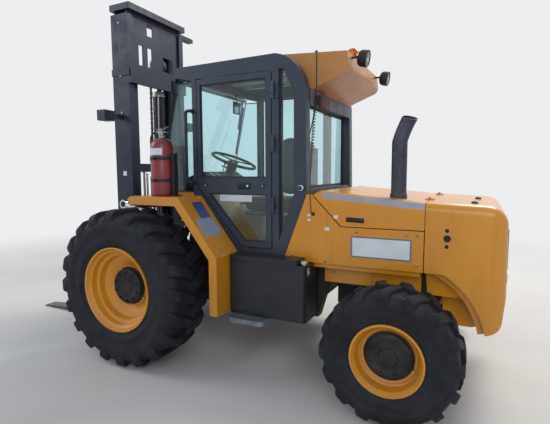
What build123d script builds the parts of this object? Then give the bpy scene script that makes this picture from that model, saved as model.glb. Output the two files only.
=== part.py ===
"""Rough terrain forklift: chassis, cab, engine bay, two-stage mast and steered rear wheels.

Millimetres. X forward, Y to the machine's left, Z up, origin on the ground under the middle
of the whole machine's box. Side profiles are lists of (x, z), x forward from the front axle.
"""

import os
from math import atan2, cos, degrees, hypot, radians, sin, tan

from build123d import *

os.makedirs("parts", exist_ok=True)

# Overall layout
wheelbase = 2000
tail_reach = 2615            # front axle to the rear of the counterweight
fork_face = 800              # front axle to the fork shank's rear face
fork_thickness = 45
fork_length = 1070
fork_tip = fork_face + fork_thickness + fork_length
front_axle_x = (tail_reach - fork_tip) / 2
rear_axle = -wheelbase       # every x below is measured from the front axle
fit = 0.05                   # radial running clearance of pins and spindles
seat = 0.3                   # gap between pieces that rest on each other
swing = 6                    # gap beside a moving piece

# Wheels
front_tyre_r = 610
front_tyre_w = 395
front_track = 1845
front_rim_r = 325
rear_tyre_r = 415
rear_tyre_w = 305
rear_track = 1735
rear_rim_r = 215
hub_r = 135
hub_inset = 120
bead_seat = 15               # rim flange radius above the bead seat
bead_share = 0.86            # bead width over tyre width
flange_share = 0.93          # flange to flange width over tyre width

# Axles and steering
axle_tube_r = 95
spindle_r = 48
kingpin_y = 660
kingpin_r = 30
knuckle_r = 55
knuckle_h = 190
yoke_gap = 3
steer_arm = 160
rear_beam_z = rear_tyre_r

# Chassis rails
rail_out = 485
rail_w = 80
rail_top = 820
rail_end = -2320

# Cab
cab_half = 580
post_w = 80
cab_in = cab_half - post_w
roof_z = 2333
beam_z = 2225
a_post_front = -358
a_post_rear = -398
sill_corner_z = 1374         # where the door opening's slanted sill meets the front post
b_post_front = -1070
b_post_rear = -1125
rear_post_in = -1245
rear_post_out = -1344
floor_z = 885
floor_t = 23
nose_z = 1330
nose_x = 14
sill_z = 915
door_t = 35
door_rail_low = 1330
door_rail_high = 1450
door_stile = 42
door_front_stile = 30
door_hinge_x = -1083
door_hinge_y = 595
pane = 8
rear_pane_x = -1262
rear_sill_z = 1372
rear_head_z = 1985

# Engine bay and counterweight
body_half = 600
top_round = 60
skin = 25
bay_rear = -2146
bay_low = 855
hood_seam_z = 1123
hood_front_z = 1362
hood_rear_z = 1302
skirt_low = 700
cowl_bottom = 481
arch_r = 510
arch_inner_r = 470
arch_step_y = 555
arch_wall_y = 495
arch_y = 405
rail_bottom_rear = 690
grille_half = 430
grille_low = 885
grille_high = 1135
tail_lamp_y0 = 410
tail_lamp_y1 = 470
tail_lamp_low = 812
tail_lamp_high = 868

# Mast
mast_rear = 490
mast_front = 690
mast_half = 395
web = 18
flange = 16
outer_flange_w = 60
mast_foot = 160
outer_top = 2940
mast_top = 3030
pivot_x = 380
pivot_z = 500
pivot_r = 38
ram_x = 575
ram_y = -92
chain_offset = 45
chain_w = 28
ram_r = 58
ram_bore = 46
ram_rod_r = 32
pulley_r = 55
pulley_z = 2585
lift = 1750
tilt_lug = (545, 1200)
tilt_base = (-300, 985)
tilt_y = 452
tilt_barrel_r = 45
tilt_rod_r = 24
tilt_pin_r = 19
carriage_half = 520
fork_y = 300
fork_w = 125


def side_plane(y):
    """Upright plane at the given y: local x forward from the front axle, local y up."""
    return Plane(origin=(front_axle_x, y, 0), x_dir=(1, 0, 0), z_dir=(0, -1, 0))


def side_prism(points, y_left, y_right, mode=Mode.ADD):
    """A side profile carried across from y_left to y_right."""
    with BuildSketch(side_plane(y_left)) as profile:
        Polygon(*points, align=None)
    extrude(profile.sketch, amount=y_left - y_right, mode=mode)


def slab(x0, x1, y0, y1, z0, z1, mode=Mode.ADD):
    """A box between two corners, x from the front axle."""
    with Locations((front_axle_x + (x0 + x1) / 2, (y0 + y1) / 2, (z0 + z1) / 2)):
        Box(abs(x1 - x0), abs(y1 - y0), abs(z1 - z0), mode=mode)


def cross_bar(x, z, radius, y0, y1, mode=Mode.ADD):
    """A cylinder across the machine between y0 and y1."""
    with Locations(Location((front_axle_x + x, (y0 + y1) / 2, z), (90, 0, 0))):
        Cylinder(radius, abs(y1 - y0), mode=mode)


def post(x, y, radius, z0, z1, mode=Mode.ADD):
    """An upright cylinder between two heights."""
    with Locations((front_axle_x + x, y, (z0 + z1) / 2)):
        Cylinder(radius, z1 - z0, mode=mode)


def rod_between(start, end, y, radius, mode=Mode.ADD):
    """A cylinder in a side plane from start to end, both (x, z)."""
    run = hypot(end[0] - start[0], end[1] - start[1])
    lean = degrees(atan2(end[0] - start[0], end[1] - start[1]))
    middle = (front_axle_x + (start[0] + end[0]) / 2, y, (start[1] + end[1]) / 2)
    with Locations(Location(middle, (0, lean, 0))):
        Cylinder(radius, run, mode=mode)


def turned(profile, x, y, z, side=1):
    """A (radius, offset) outline revolved about an axle at x, z; offsets run outboard."""
    axle = Plane(origin=(front_axle_x + x, y, z), x_dir=(1, 0, 0), z_dir=(0, 0, 1))
    with BuildSketch(axle) as section:
        Polygon(*[(r, side * offset) for r, offset in profile], align=None)
    revolve(section.sketch, axis=Axis((front_axle_x + x, y, z), (0, 1, 0)))


# Chassis frame: two deep rails joined by cross members
rail_profile = [
    (450, 430), (450, 570), (250, 735), (-180, 735), (-250, 1040), (-350, 1040), (-430, rail_top),
    (rail_end, rail_top), (rail_end, rail_bottom_rear), (-1480, rail_bottom_rear), (-1400, 420), (100, 420),
]
cross_members = [   # x front, x rear, z low, z high
    (-200, -240, 500, 700),
    (-620, -660, 480, 800),
    (-1300, -1340, 480, 800),
    (-2200, -2300, 700, 800),
]
with BuildPart() as frame:
    for side in (1, -1):
        outer_y = side * rail_out
        inner_y = side * (rail_out - rail_w)
        side_prism(rail_profile, max(outer_y, inner_y), min(outer_y, inner_y))
    for x0, x1, z0, z1 in cross_members:
        slab(x0, x1, -rail_out + rail_w, rail_out - rail_w, z0, z1)
    cross_bar(0, front_tyre_r, axle_tube_r + seat, -rail_out - 5, rail_out + 5, Mode.SUBTRACT)
    for side in (1, -1):
        cross_bar(pivot_x, pivot_z, pivot_r, side * (rail_out - rail_w), side * 335)
        cross_bar(*tilt_base, 20, side * (rail_out - rail_w), side * rail_out)
    for side in (1, -1):
        slab(tilt_base[0] - 90, tilt_base[0] + 90, side * (tilt_y - 31), side * (tilt_y + 31),
             rail_top + 60, 1060, Mode.SUBTRACT)
        cross_bar(*tilt_base, 20, side * (tilt_y - 31), side * (tilt_y + 31))
        for x0, x1 in ((-830, -900), (-1090, -1160)):
            slab(x0, x1, side * (rail_out - 10), side * (rail_out - 70), rail_top - 1,
                 floor_z - floor_t - seat)

# Front axle: tube, differential bowl and spindles
front_hub_back = front_track / 2 - 60
with BuildPart() as front_axle:
    cross_bar(0, front_tyre_r, axle_tube_r, -front_hub_back, front_hub_back)
    turned([(0, -160), (95, -150), (165, -90), (185, 0), (165, 90), (95, 150), (0, 160)], 0, 0,
           front_tyre_r)
    cross_bar(0, front_tyre_r, spindle_r, -front_hub_back - 60, front_hub_back + 60)
    slab(-200 + seat, -60, -70, 70, front_tyre_r - 70, front_tyre_r + 70)

# Rear axle: beam, yokes round the kingpins and the steering cylinder's barrel
beam_half = kingpin_y - knuckle_r - 50
yoke_low = rear_beam_z - knuckle_h / 2 - yoke_gap
yoke_high = rear_beam_z + knuckle_h / 2 + yoke_gap
steer_rod_x = rear_axle - steer_arm
steer_rod_z = rear_beam_z + 75
with BuildPart() as rear_axle_beam:
    slab(rear_axle - 65, rear_axle + 65, -beam_half, beam_half, rear_beam_z - 80, rear_beam_z + 80)
    for side in (1, -1):
        for z0, z1 in ((yoke_low - 40, yoke_low), (yoke_high, yoke_high + 40)):
            slab(rear_axle - 60, rear_axle + 60, side * (beam_half - 60), side * kingpin_y, z0, z1)
            post(rear_axle, side * kingpin_y, 60, z0, z1)
        slab(rear_axle - 60, rear_axle + 60, side * (beam_half - 60), side * beam_half,
             yoke_low - 40, yoke_high + 40)
        post(rear_axle, side * kingpin_y, kingpin_r, yoke_low - 40, yoke_high + 40)
    slab(rear_axle - 90, rear_axle + 90, -110, 110, rear_beam_z + 80, 700)
    cross_bar(steer_rod_x, steer_rod_z, 42, -200, 200)
    slab(steer_rod_x, rear_axle - 65, -150, 150, steer_rod_z - 38, steer_rod_z - 8)
    cross_bar(steer_rod_x, steer_rod_z, 20 + fit, -200, 200, Mode.SUBTRACT)
    slab(rear_axle - 90, rear_axle + 90, -rail_out + rail_w, rail_out - rail_w, 700 - seat, 700)

# The steering cylinder's rod, with an eye plate over each knuckle arm
with BuildPart() as steer_rod:
    rod_reach = kingpin_y - 130
    cross_bar(steer_rod_x, steer_rod_z, 20, -rod_reach, rod_reach)
    for side in (1, -1):
        slab(steer_rod_x - 30, steer_rod_x + 30, side * (rod_reach - 10), side * (kingpin_y - 20),
             steer_rod_z - 12, steer_rod_z + 12)

# Tyres: a smooth bag, then chevron lugs trimmed to the tread's own outline
def bag_section(outer_r, width, rim_r, lug):
    half = width / 2
    bead = half * bead_share - seat
    crown = outer_r - lug
    right = [
        (rim_r - bead_seat + seat, bead), (rim_r + seat, bead), (rim_r + 45, half * flange_share),
        (outer_r * 0.8, half), (crown, half * 0.76),
    ]
    return right + [(r, -offset) for r, offset in right[::-1]]


def lug_planes(x, y, z, radius, count, first):
    """Planes on the bag facing outward: local x the way the wheel rolls, local y across it."""
    planes = []
    for i in range(count):
        turn = radians(first + 360 * i / count)
        planes.append(Plane(origin=(front_axle_x + x + radius * cos(turn), y, z + radius * sin(turn)),
                            x_dir=(sin(turn), 0, -cos(turn)), z_dir=(cos(turn), 0, sin(turn))))
    return planes


def make_tyre(x, y, z, outer_r, width, rim_r, lug, count, lug_w, lead):
    """The bag with two rows of bent bars, each from past the middle out to the shoulder."""
    half = width / 2
    corner = lead + lug_w / 2
    top = (outer_r ** 2 - corner ** 2) ** 0.5
    root = outer_r - lug - 55
    first = degrees(atan2(corner, top)) - 90
    with BuildPart() as tyre:
        turned(bag_section(outer_r, width, rim_r, lug), x, y, z)
        for row, stagger in ((1, 0), (-1, 180 / count)):
            with BuildSketch(*lug_planes(x, y, z, root, count, first + stagger)):
                Polygon((corner, -0.04 * half * row), (-0.7 * lead + lug_w / 2, 0.98 * half * row),
                        (-0.7 * lead - lug_w / 2, 0.98 * half * row),
                        (corner - lug_w, -0.04 * half * row), align=None)
            extrude(amount=top - root)
    return tyre


# Rims: a dished disc stepping down to the hub, inside a drum with a flange at each edge
def rim_section(rim_r, width, bore, hub_back, hub_face, steps):
    half = width / 2
    bead = half * bead_share
    lip = half * flange_share
    drum = rim_r - bead_seat
    return [
        (bore, hub_back), (hub_r, hub_back), (hub_r, hub_back + 20), (drum - 30, hub_back + 20),
        (drum - 12, -bead), (rim_r - 12, -lip), (rim_r, -lip), (rim_r, -bead), (drum, -bead),
        (drum, bead), (rim_r, bead), (rim_r, lip), (rim_r - 12, lip),
    ] + steps + [
        (hub_r, steps[-1][1]), (hub_r, hub_face - 8), (hub_r - 8, hub_face), (0, hub_face),
        (0, hub_back + 62), (bore, hub_back + 62),
    ]


wheel_rows = {      # name: axle x, middle y, axle z, tyre radius, width, rim radius, lugs
    "front": (0, front_track / 2, front_tyre_r, front_tyre_r, front_tyre_w, front_rim_r,
              (38, 20, 84, 52)),
    "rear": (rear_axle, rear_track / 2, rear_tyre_r, rear_tyre_r, rear_tyre_w, rear_rim_r,
             (26, 16, 66, 40)),
}
hub_backs = {"front": front_hub_back + 1 - front_track / 2, "rear": -60}
hub_faces = {"front": front_tyre_w / 2 * flange_share - hub_inset, "rear": 72}
rim_steps = {       # dish outline from the flange in to the hub: radius, offset
    "front": [(300, 160), (284, 150), (276, 112), (252, 104), (240, 62), (206, 48), (160, 22)],
    "rear": [(188, 118), (178, 66), (164, 52), (150, 48)],
}
wheel_parts = {}
for place, (x, y, z, tyre_r, tyre_w, rim_r, (lug, count, lug_w, lead)) in wheel_rows.items():
    left_tyre = make_tyre(x, y, z, tyre_r, tyre_w, rim_r, lug, count, lug_w, lead)
    with BuildPart() as left_rim:
        turned(rim_section(rim_r, tyre_w, spindle_r + fit, hub_backs[place], hub_faces[place],
                           rim_steps[place]), x, y, z)
    with BuildPart() as right_tyre:
        mirror(left_tyre.part, about=Plane.XZ)
    with BuildPart() as right_rim:
        mirror(left_rim.part, about=Plane.XZ)
    wheel_parts[f"{place}_tyre_left"] = left_tyre
    wheel_parts[f"{place}_rim_left"] = left_rim
    wheel_parts[f"{place}_tyre_right"] = right_tyre
    wheel_parts[f"{place}_rim_right"] = right_rim

# Rear knuckles: a hub round the kingpin, a spindle out to the wheel and a steering arm back
rear_hub_back = rear_track / 2 + hub_backs["rear"]
knuckles = {}
for hand, side in (("left", 1), ("right", -1)):
    with BuildPart() as knuckle:
        post(rear_axle, side * kingpin_y, knuckle_r, rear_beam_z - knuckle_h / 2,
             rear_beam_z + knuckle_h / 2)
        cross_bar(rear_axle, rear_beam_z, 52, side * kingpin_y, side * (rear_hub_back - 1))
        cross_bar(rear_axle, rear_beam_z, spindle_r, side * kingpin_y, side * (rear_hub_back + 58))
        slab(rear_axle - steer_arm - 25, rear_axle, side * (kingpin_y - 25),
             side * (kingpin_y + 25), steer_rod_z - 50, steer_rod_z - 20)
        post(rear_axle, side * kingpin_y, kingpin_r + fit, yoke_low, yoke_high, Mode.SUBTRACT)
    knuckles[hand] = knuckle

fender_back = -786
tank_front = fender_back - seat

# Side tanks between the wheels, with the entry steps below the doors
tank_rear = -1400
tank_out = 750
tank_low = 450
tank_top = 887
with BuildPart() as side_tanks:
    slab(tank_front, tank_rear, rail_out + seat, tank_out, tank_low, 850)
    slab(tank_front, tank_rear + 60, body_half + swing, tank_out, 850, tank_top)
    fillet(side_tanks.edges().filter_by(Axis.Z).group_by(Axis.Y)[-1], 35)
    mirror(about=Plane.XZ)

with BuildPart() as steps:
    slab(-815, -1125, tank_out - 60, 850, tank_low - 35, tank_low - seat)
    fillet(steps.edges().filter_by(Axis.Z).group_by(Axis.Y)[-1], 50)
    for x in range(-850, -1100, -48):
        for y in (tank_out + 22, tank_out + 58):
            slab(x, x - 30, y - 9, y + 9, tank_low - 40, tank_low + 5, Mode.SUBTRACT)
    mirror(about=Plane.XZ)

# Front fenders: a bent plate with a deep outer lip
fender_in = 612
fender_out = 905
fender_lip = 65
fender_plate = 14
fender_top = 1310
fender_line = [(45, 1292), (5, fender_top), (-455, fender_top), (fender_back, 885), (fender_back, 457)]


def offset_line(points, depth):
    """The same bent line moved down and forward by depth, with mitred corners."""
    moved = []
    for i, (px, pz) in enumerate(points):
        before = points[max(i - 1, 0)]
        after = points[min(i + 1, len(points) - 1)]
        run_in = (px - before[0], pz - before[1]) if i else (after[0] - px, after[1] - pz)
        run_out = (after[0] - px, after[1] - pz) if i < len(points) - 1 else run_in
        normals = [(dz / hypot(dx, dz), -dx / hypot(dx, dz)) for dx, dz in (run_in, run_out)]
        bend = (normals[0][0] + normals[1][0], normals[0][1] + normals[1][1])
        scale = 2 * depth / (bend[0] ** 2 + bend[1] ** 2)
        moved.append((px - bend[0] * scale, pz - bend[1] * scale))
    return moved


with BuildPart() as fenders:
    for depth, y_out, y_in in ((fender_plate, fender_out, fender_in),
                               (fender_lip, fender_out, fender_out - 20)):
        side_prism(fender_line + offset_line(fender_line, depth)[::-1], y_out, y_in)
    slab(-366, -426, fender_in + 10, cab_half + seat, fender_top - fender_plate, fender_top - 4)
    mirror(about=Plane.XZ)

# Engine: one plain block on the rails
with BuildPart() as engine:
    slab(-1480, -1860, -260, 260, 480, 1180)
    slab(-1480, -2060, -260, 260, 730, 1180)
    slab(-1560, -1960, -330, 330, 900, 1120)
    slab(-1690, -1750, -rail_out + rail_w + seat, rail_out - rail_w - seat, 730, 790)

# Fixed lower side panels of the engine bay
panel_profile = [
    (-1178, bay_low), (-1178, 872), (-1352, 1338), (-1392, 1329), (-1598, hood_seam_z - swing),
    (bay_rear + swing, hood_seam_z - swing), (bay_rear + swing, bay_low),
]
with BuildPart() as side_panels:
    side_prism(panel_profile, body_half, body_half - skin)
    slab(-1400, -2120, body_half - skin, rail_out - rail_w, rail_top + seat, bay_low)
    slab(-1452, -2120, rail_out + seat, rail_out + seat + 4, skirt_low, bay_low - 1)
    mirror(about=Plane.XZ)

# Hood: a shell over the engine, hinged along its rear edge
hood_profile = [
    (-1392 - swing, 1334), (-1440, hood_front_z), (bay_rear + 4, hood_rear_z),
    (bay_rear + 4, hood_seam_z), (-1604, hood_seam_z),
]
hood_inner = [
    (-1300, hood_front_z - skin), (-1440, hood_front_z - skin), (bay_rear - 20, hood_rear_z - skin),
    (bay_rear - 20, hood_seam_z - 90), (-1300, hood_seam_z - 90),
]
hood_hinge_x = bay_rear + 2
hood_hinge_z = hood_rear_z + 12
hood_hinge_r = 10
hood_pin_r = 5
hood_hinge_ys = (-350, 350)
with BuildPart() as hood:
    side_prism(hood_profile, body_half, -body_half)
    long_edges = [e for e in hood.edges() if e.length > 600 and e.center().Z > hood_rear_z - 10
                  and abs(e.center().Y) > body_half - 10]
    fillet(long_edges, top_round)
    with BuildPart(mode=Mode.PRIVATE) as hollow:
        side_prism(hood_inner, body_half - skin, -body_half + skin)
        inner_edges = [e for e in hollow.edges() if e.length > 600 and e.center().Z > hood_rear_z - 40
                       and abs(e.center().Y) > body_half - skin - 10]
        fillet(inner_edges, top_round - skin)
    add(hollow.part, mode=Mode.SUBTRACT)
    for y in hood_hinge_ys:
        cross_bar(hood_hinge_x, hood_hinge_z, hood_hinge_r, y - 14, y + 14)
        slab(hood_hinge_x, hood_hinge_x + 30, y - 14, y + 14, hood_rear_z - 6, hood_rear_z + 8)
        cross_bar(hood_hinge_x, hood_hinge_z, hood_pin_r + fit, y - 15, y + 15, Mode.SUBTRACT)

# Counterweight: a cast tail rounded in side and plan, with wheel arches and a radiator opening
tail = -tail_reach
tail_face = tail + 8         # cast face; the grille and the tail lamps stand proud of it
tail_round = 115
tail_top = 1284
tail_low = 530
arch_cuts = [       # radius, depth to y, z low, z high: a shallow step, then the deep part
    (arch_r, arch_step_y, 0, bay_low),
    (arch_inner_r, arch_wall_y, rail_bottom_rear, bay_low),
    (arch_inner_r, arch_y, 0, rail_bottom_rear),
]
with BuildPart() as counterweight:
    with BuildSketch(side_plane(body_half)) as cast_side:
        with BuildLine():
            Polyline((bay_rear, bay_low), (bay_rear, hood_rear_z + 2), (tail_face + 3, tail_top),
                     (tail_face - 4, 745), (tail_face + 20, tail_low), (-2425, cowl_bottom),
                     (-2180, cowl_bottom), (bay_rear, bay_low))
        make_face()
        for height, radius in ((tail_top, 120), (tail_low, 80)):
            fillet([v for v in cast_side.vertices() if abs(v.Y - height) < 1], radius)
    extrude(amount=2 * body_half)
    with BuildPart(mode=Mode.PRIVATE) as tail_plan:
        with BuildSketch(Plane.XY) as outline:
            with Locations((front_axle_x + (bay_rear + tail) / 2, 0)):
                Rectangle(bay_rear - tail, 2 * body_half)
            fillet(outline.vertices().group_by(Axis.X)[0], tail_round)
        extrude(amount=mast_top)
    add(tail_plan.part, mode=Mode.INTERSECT)
    fillet([e for e in counterweight.edges() if e.center().Z > bay_low + 200
            and e.center().X < front_axle_x + bay_rear - 5 and abs(e.center().Y) > 1], top_round)
    for radius, depth, low, high in arch_cuts:
        for y in (body_half, -depth):
            with BuildSketch(side_plane(y)):
                with Locations((rear_axle, rear_beam_z)):
                    Circle(radius)
                with Locations((rear_axle, (low + high) / 2)):
                    Rectangle(2 * arch_r, high - low, mode=Mode.INTERSECT)
            extrude(amount=body_half - depth, mode=Mode.SUBTRACT)
    slab(bay_rear + 1, -2480, -520, 520, bay_low + 25, 1230, Mode.SUBTRACT)
    slab(-2400, tail - 20, -grille_half, grille_half, grille_low, grille_high, Mode.SUBTRACT)
    for side in (1, -1):
        slab(tail_face + 40, tail, side * tail_lamp_y0, side * tail_lamp_y1, tail_lamp_low,
             tail_lamp_high, Mode.SUBTRACT)
    slab(bay_rear + 1, rail_end - seat, -rail_out - seat, rail_out + seat,
         rail_bottom_rear - seat, rail_top + seat, Mode.SUBTRACT)
    slab(bay_rear + 1, -2250, -rail_out - seat, rail_out + seat, cowl_bottom - 10,
         rail_bottom_rear, Mode.SUBTRACT)
    for y in hood_hinge_ys:
        cross_bar(hood_hinge_x, hood_hinge_z, hood_pin_r, y - 30, y + 30)
        for y0, y1 in ((y - 30, y - 15), (y + 15, y + 30)):
            cross_bar(hood_hinge_x, hood_hinge_z, hood_hinge_r, y0, y1)
            slab(hood_hinge_x, hood_hinge_x - 30, y0, y1, 1296, hood_rear_z + 8)

# Radiator grille: a frame round level slats, with the core behind them
core_x = -2450
slat_pitch = 30
with BuildPart() as rear_grille:
    slab(core_x, core_x - 40, -grille_half + seat, grille_half - seat, grille_low + seat,
         grille_high - seat)
    slab(core_x - 39, tail, -grille_half + seat, grille_half - seat, grille_low + seat,
         grille_high - seat)
    slab(core_x - 40, tail - 1, -grille_half + 18, grille_half - 18, grille_low + 18,
         grille_high - 18, Mode.SUBTRACT)
    for z in range(grille_low + 34, grille_high - 18, slat_pitch):
        slab(tail + 42, tail + 6, -grille_half + 10, grille_half - 10, z - 4, z + 4)
    for y in (-150, 150):
        slab(core_x - 39, tail + 7, y - 4, y + 4, grille_low + 10, grille_high - 10)

# Exhaust stack: a bent tube with a slanted mouth, standing on the hood
stack_x = -1954
stack_y = 450
stack_r = 50
stack_wall = 4
with BuildPart() as exhaust_stack:
    with BuildLine() as stack_line:
        base = (front_axle_x + stack_x, stack_y, 1290)
        bend = (front_axle_x + stack_x, stack_y, 1690)
        straight = Line(base, bend)
        curve = RadiusArc(bend, (front_axle_x + stack_x - 62, stack_y, 1845), 225)
    with BuildSketch(Plane(origin=base, z_dir=(0, 0, 1))):
        Circle(stack_r)
        Circle(stack_r - stack_wall, mode=Mode.SUBTRACT)
    sweep(path=stack_line.wires()[0])
    post(stack_x, stack_y, stack_r + 6, 1290, hood_rear_z + 34)
    post(stack_x, stack_y, stack_r - stack_wall, 1290, hood_rear_z + 40, Mode.SUBTRACT)
    side_prism([(-1440, hood_front_z + seat), (bay_rear + 4, hood_rear_z + seat), (bay_rear + 4, 1200),
                (-1440, 1200)], body_half, -body_half, Mode.SUBTRACT)

# Cab frame: two side loops and the beams between them
with BuildPart() as cab_frame:
    with BuildSketch(side_plane(cab_half)):
        with BuildLine():
            Polyline((-1330, 2080), (rear_post_out, 1330), (-1170, 862), (-1049, 851), (-787, 852),
                     (-417, 1271), (a_post_front, 1271), (a_post_front, beam_z - 10),
                     (-190, 2255), (-200, 2329), (-1097, 2336))
            ThreePointArc((-1097, 2336), (-1262, 2240), (-1330, 2080))
        make_face()
        Polygon((a_post_rear, beam_z), (b_post_front, beam_z), (b_post_front, sill_z),
                (-804, sill_z), (a_post_rear, sill_corner_z), align=None, mode=Mode.SUBTRACT)
        Polygon((b_post_rear, beam_z), (-1165, beam_z), (rear_post_in, 2070),
                (rear_post_in, 1330), (b_post_rear, 985), align=None, mode=Mode.SUBTRACT)
    extrude(amount=post_w)
    for z in (1250, 1700, 2080):
        post(door_hinge_x, door_hinge_y, 6, z - 60, z + 60)
        for z0, z1 in ((z - 60, z - 26), (z + 26, z + 60)):
            post(door_hinge_x, door_hinge_y, 12, z0, z1)
            slab(door_hinge_x, b_post_rear, cab_half - 1, cab_half + 9, z0, z1)
            slab(door_hinge_x - 12, door_hinge_x, cab_half - 1, door_hinge_y, z0, z1)
    cross_bar(-1308, 1380, 16, cab_half - 1, cab_half + 45)
    mirror(about=Plane.XZ)
    slab(-200, -270, -cab_in - 1, cab_in + 1, 2245, 2329)
    slab(rear_pane_x + 7, -1336, -cab_in - 1, cab_in + 1, rear_head_z, 2085 - seat)
    slab(rear_pane_x + 7, -1336, -cab_in - 1, cab_in + 1, 1346, rear_sill_z)

# Cab floor: nose plate, toe board, floor and rear wall, bent from one sheet
with BuildPart() as cab_floor:
    side_prism([
        (nose_x, nose_z), (-418, nose_z), (-806, floor_z), (-1160, floor_z), (-1312, 1345),
        (-1336, 1345), (-1177, floor_z - floor_t), (-796, floor_z - floor_t), (-408, nose_z - floor_t),
        (nose_x, nose_z - floor_t)], cab_in - seat, -cab_in + seat)
    slab(nose_x, a_post_front + seat, -cab_half + 5, cab_half - 5, nose_z - floor_t, nose_z)

# Roof panel with long slots
with BuildPart() as roof:
    slab(-270 - seat, -1100, -cab_in + seat, cab_in - seat, roof_z - 30, roof_z)
    for y in (-330, -110, 110, 330):
        for x0, x1 in ((-340, -640), (-690, -1000)):
            slab(x0, x1, y - 16, y + 16, roof_z - 40, roof_z + 10, Mode.SUBTRACT)

# Rear roof cowl overhanging the rear window
cowl_half = 460
with BuildPart() as roof_cowl:
    side_prism([(-1060, roof_z + seat), (-1075, 2356), (-1590, 2322), (-1606, 2190), (-1338, 2085),
                (-1292, 2085), (-1105, 2300), (-1105, roof_z + seat)], cowl_half, -cowl_half)
    fillet(roof_cowl.edges().filter_by(Axis.Y).group_by(Axis.X)[0], 60)


def screen_x(z):
    """The raked windscreen's rear face at height z."""
    return -206 + (2276 - z) * 0.218


# Fixed glass: windscreen, front and rear quarters, right side and rear window
pane_y = cab_half - 32
with BuildPart() as cab_glass:
    z_top = 2245 - seat
    z_low = nose_z + seat
    side_prism([(screen_x(z_top), z_top), (screen_x(z_low), z_low), (screen_x(z_low) + pane, z_low),
                (screen_x(z_top) + pane, z_top)], cab_half - 5, -cab_half + 5)
    for side in (1, -1):
        y0, y1 = sorted((side * pane_y, side * (pane_y + pane)), reverse=True)
        side_prism([(a_post_front + seat, beam_z - 12), (screen_x(beam_z - 12) - 1, beam_z - 12),
                    (screen_x(z_low) - 1, z_low), (a_post_front + seat, z_low)], y0, y1)
        side_prism([(b_post_rear, beam_z), (-1165, beam_z), (rear_post_in, 2070),
                    (rear_post_in, 1330), (b_post_rear, 985)], y0, y1)
    side_prism([(a_post_rear, beam_z), (b_post_front, beam_z), (b_post_front, sill_z),
                (-804, sill_z), (a_post_rear, sill_corner_z)], -pane_y, -pane_y - pane)
    slab(rear_pane_x, rear_pane_x - pane, -cab_in, cab_in, rear_sill_z, rear_head_z)

# Left door and its glass
door_top = beam_z - 8
door_front = a_post_rear - swing
door_profile = [(door_front, door_top), (-1062, door_top), (-1062, 923), (-808, 923),
                (door_front, sill_corner_z + 7)]
door_windows = [
    [(door_front - door_front_stile, door_top - door_stile),
     (-1062 + door_stile, door_top - door_stile), (-1062 + door_stile, door_rail_high),
     (door_front - door_front_stile, door_rail_high)],
    [(-1062 + door_stile, door_rail_low), (-1062 + door_stile, 965), (-827, 965), (-504, door_rail_low)],
]
door_y = cab_half - door_t
with BuildPart() as door:
    side_prism(door_profile, cab_half, door_y)
    for window in door_windows:
        side_prism(window, cab_half, door_y, Mode.SUBTRACT)
    for z in (1250, 1700, 2080):
        post(door_hinge_x, door_hinge_y, 12, z - 24, z + 24)
        slab(door_hinge_x, -1040, cab_half + 2, door_hinge_y - 3, z - 24, z + 24)
        slab(-1060, -1040, cab_half - 1, door_hinge_y - 3, z - 24, z + 24)
        post(door_hinge_x, door_hinge_y, 6 + fit, z - 25, z + 25, Mode.SUBTRACT)
with BuildPart() as door_glass:
    for window in door_windows:
        side_prism(window, door_y + 20, door_y + 20 - pane)

# Seat: pedestal and back plate, then the soft pads
with BuildPart() as seat_base:
    slab(-820, -1090, -200, 200, floor_z + seat, 1130)
    slab(-640, -1130, -230, 230, 1130, 1160)
    slab(-1115, -1130, -200, 200, 1160, 1700)
with BuildPart() as seat_pads:
    slab(-600, -1060, -245, 245, 1160 + seat, 1280)
    slab(-945, -1115 + seat, -245, 245, 1290, 1790)
    fillet(seat_pads.edges().filter_by(Axis.Y).group_by(Axis.Z)[-1].sort_by(Axis.X)[-1], 130)
    fillet(seat_pads.edges().filter_by(Axis.Z), 40)

# Console with the steering column, and the steering wheel on it
wheel_tilt = 22
wheel_centre = (-385, 1600)
wheel_r = 205
axis_dir = (-sin(radians(wheel_tilt)), cos(radians(wheel_tilt)))
column_end = (wheel_centre[0] - 30 * axis_dir[0], wheel_centre[1] - 30 * axis_dir[1])
column_start = (wheel_centre[0] - 270 * axis_dir[0], wheel_centre[1] - 270 * axis_dir[1])
with BuildPart() as console:
    side_prism([(-60, nose_z + seat), (-60, 1440), (-230, 1500), (-390, 1400), (-410, nose_z + seat)],
               300, -300)
    rod_between(column_start, column_end, 0, 38)
wheel_plane = Plane(origin=(front_axle_x + wheel_centre[0], 0, wheel_centre[1]), x_dir=(0, 1, 0),
                    z_dir=(axis_dir[0], 0, axis_dir[1]))
with BuildPart(wheel_plane) as steering_wheel:
    grip = [(wheel_r + 14 * cos(radians(a)), 14 * sin(radians(a))) for a in range(0, 360, 60)]
    with BuildSketch(wheel_plane * Plane.XZ) as grip_section:
        Polygon(*grip, align=None)
    revolve(grip_section.sketch, axis=Axis(wheel_plane.origin, wheel_plane.z_dir))
    with Locations((0, 0, -14)):
        Cylinder(42, 31)
    with PolarLocations(0, 3):
        with Locations((wheel_r / 2, 0, 0)):
            Box(wheel_r, 24, 10)

def cord_line(points):
    """Straight runs joined by tangent arcs, each as large as its two runs allow."""
    at = [(front_axle_x + x, y, z) for x, y, z in points]
    radii = []
    for a, b, c in zip(at, at[1:], at[2:]):
        v1 = Vector(*b) - Vector(*a)
        v2 = Vector(*c) - Vector(*b)
        turn = radians(v1.get_angle(v2))
        radii.append(0.45 * min(v1.length, v2.length) / tan(turn / 2))
    print("cord radii", [round(r, 1) for r in radii])
    return at, radii


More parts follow.
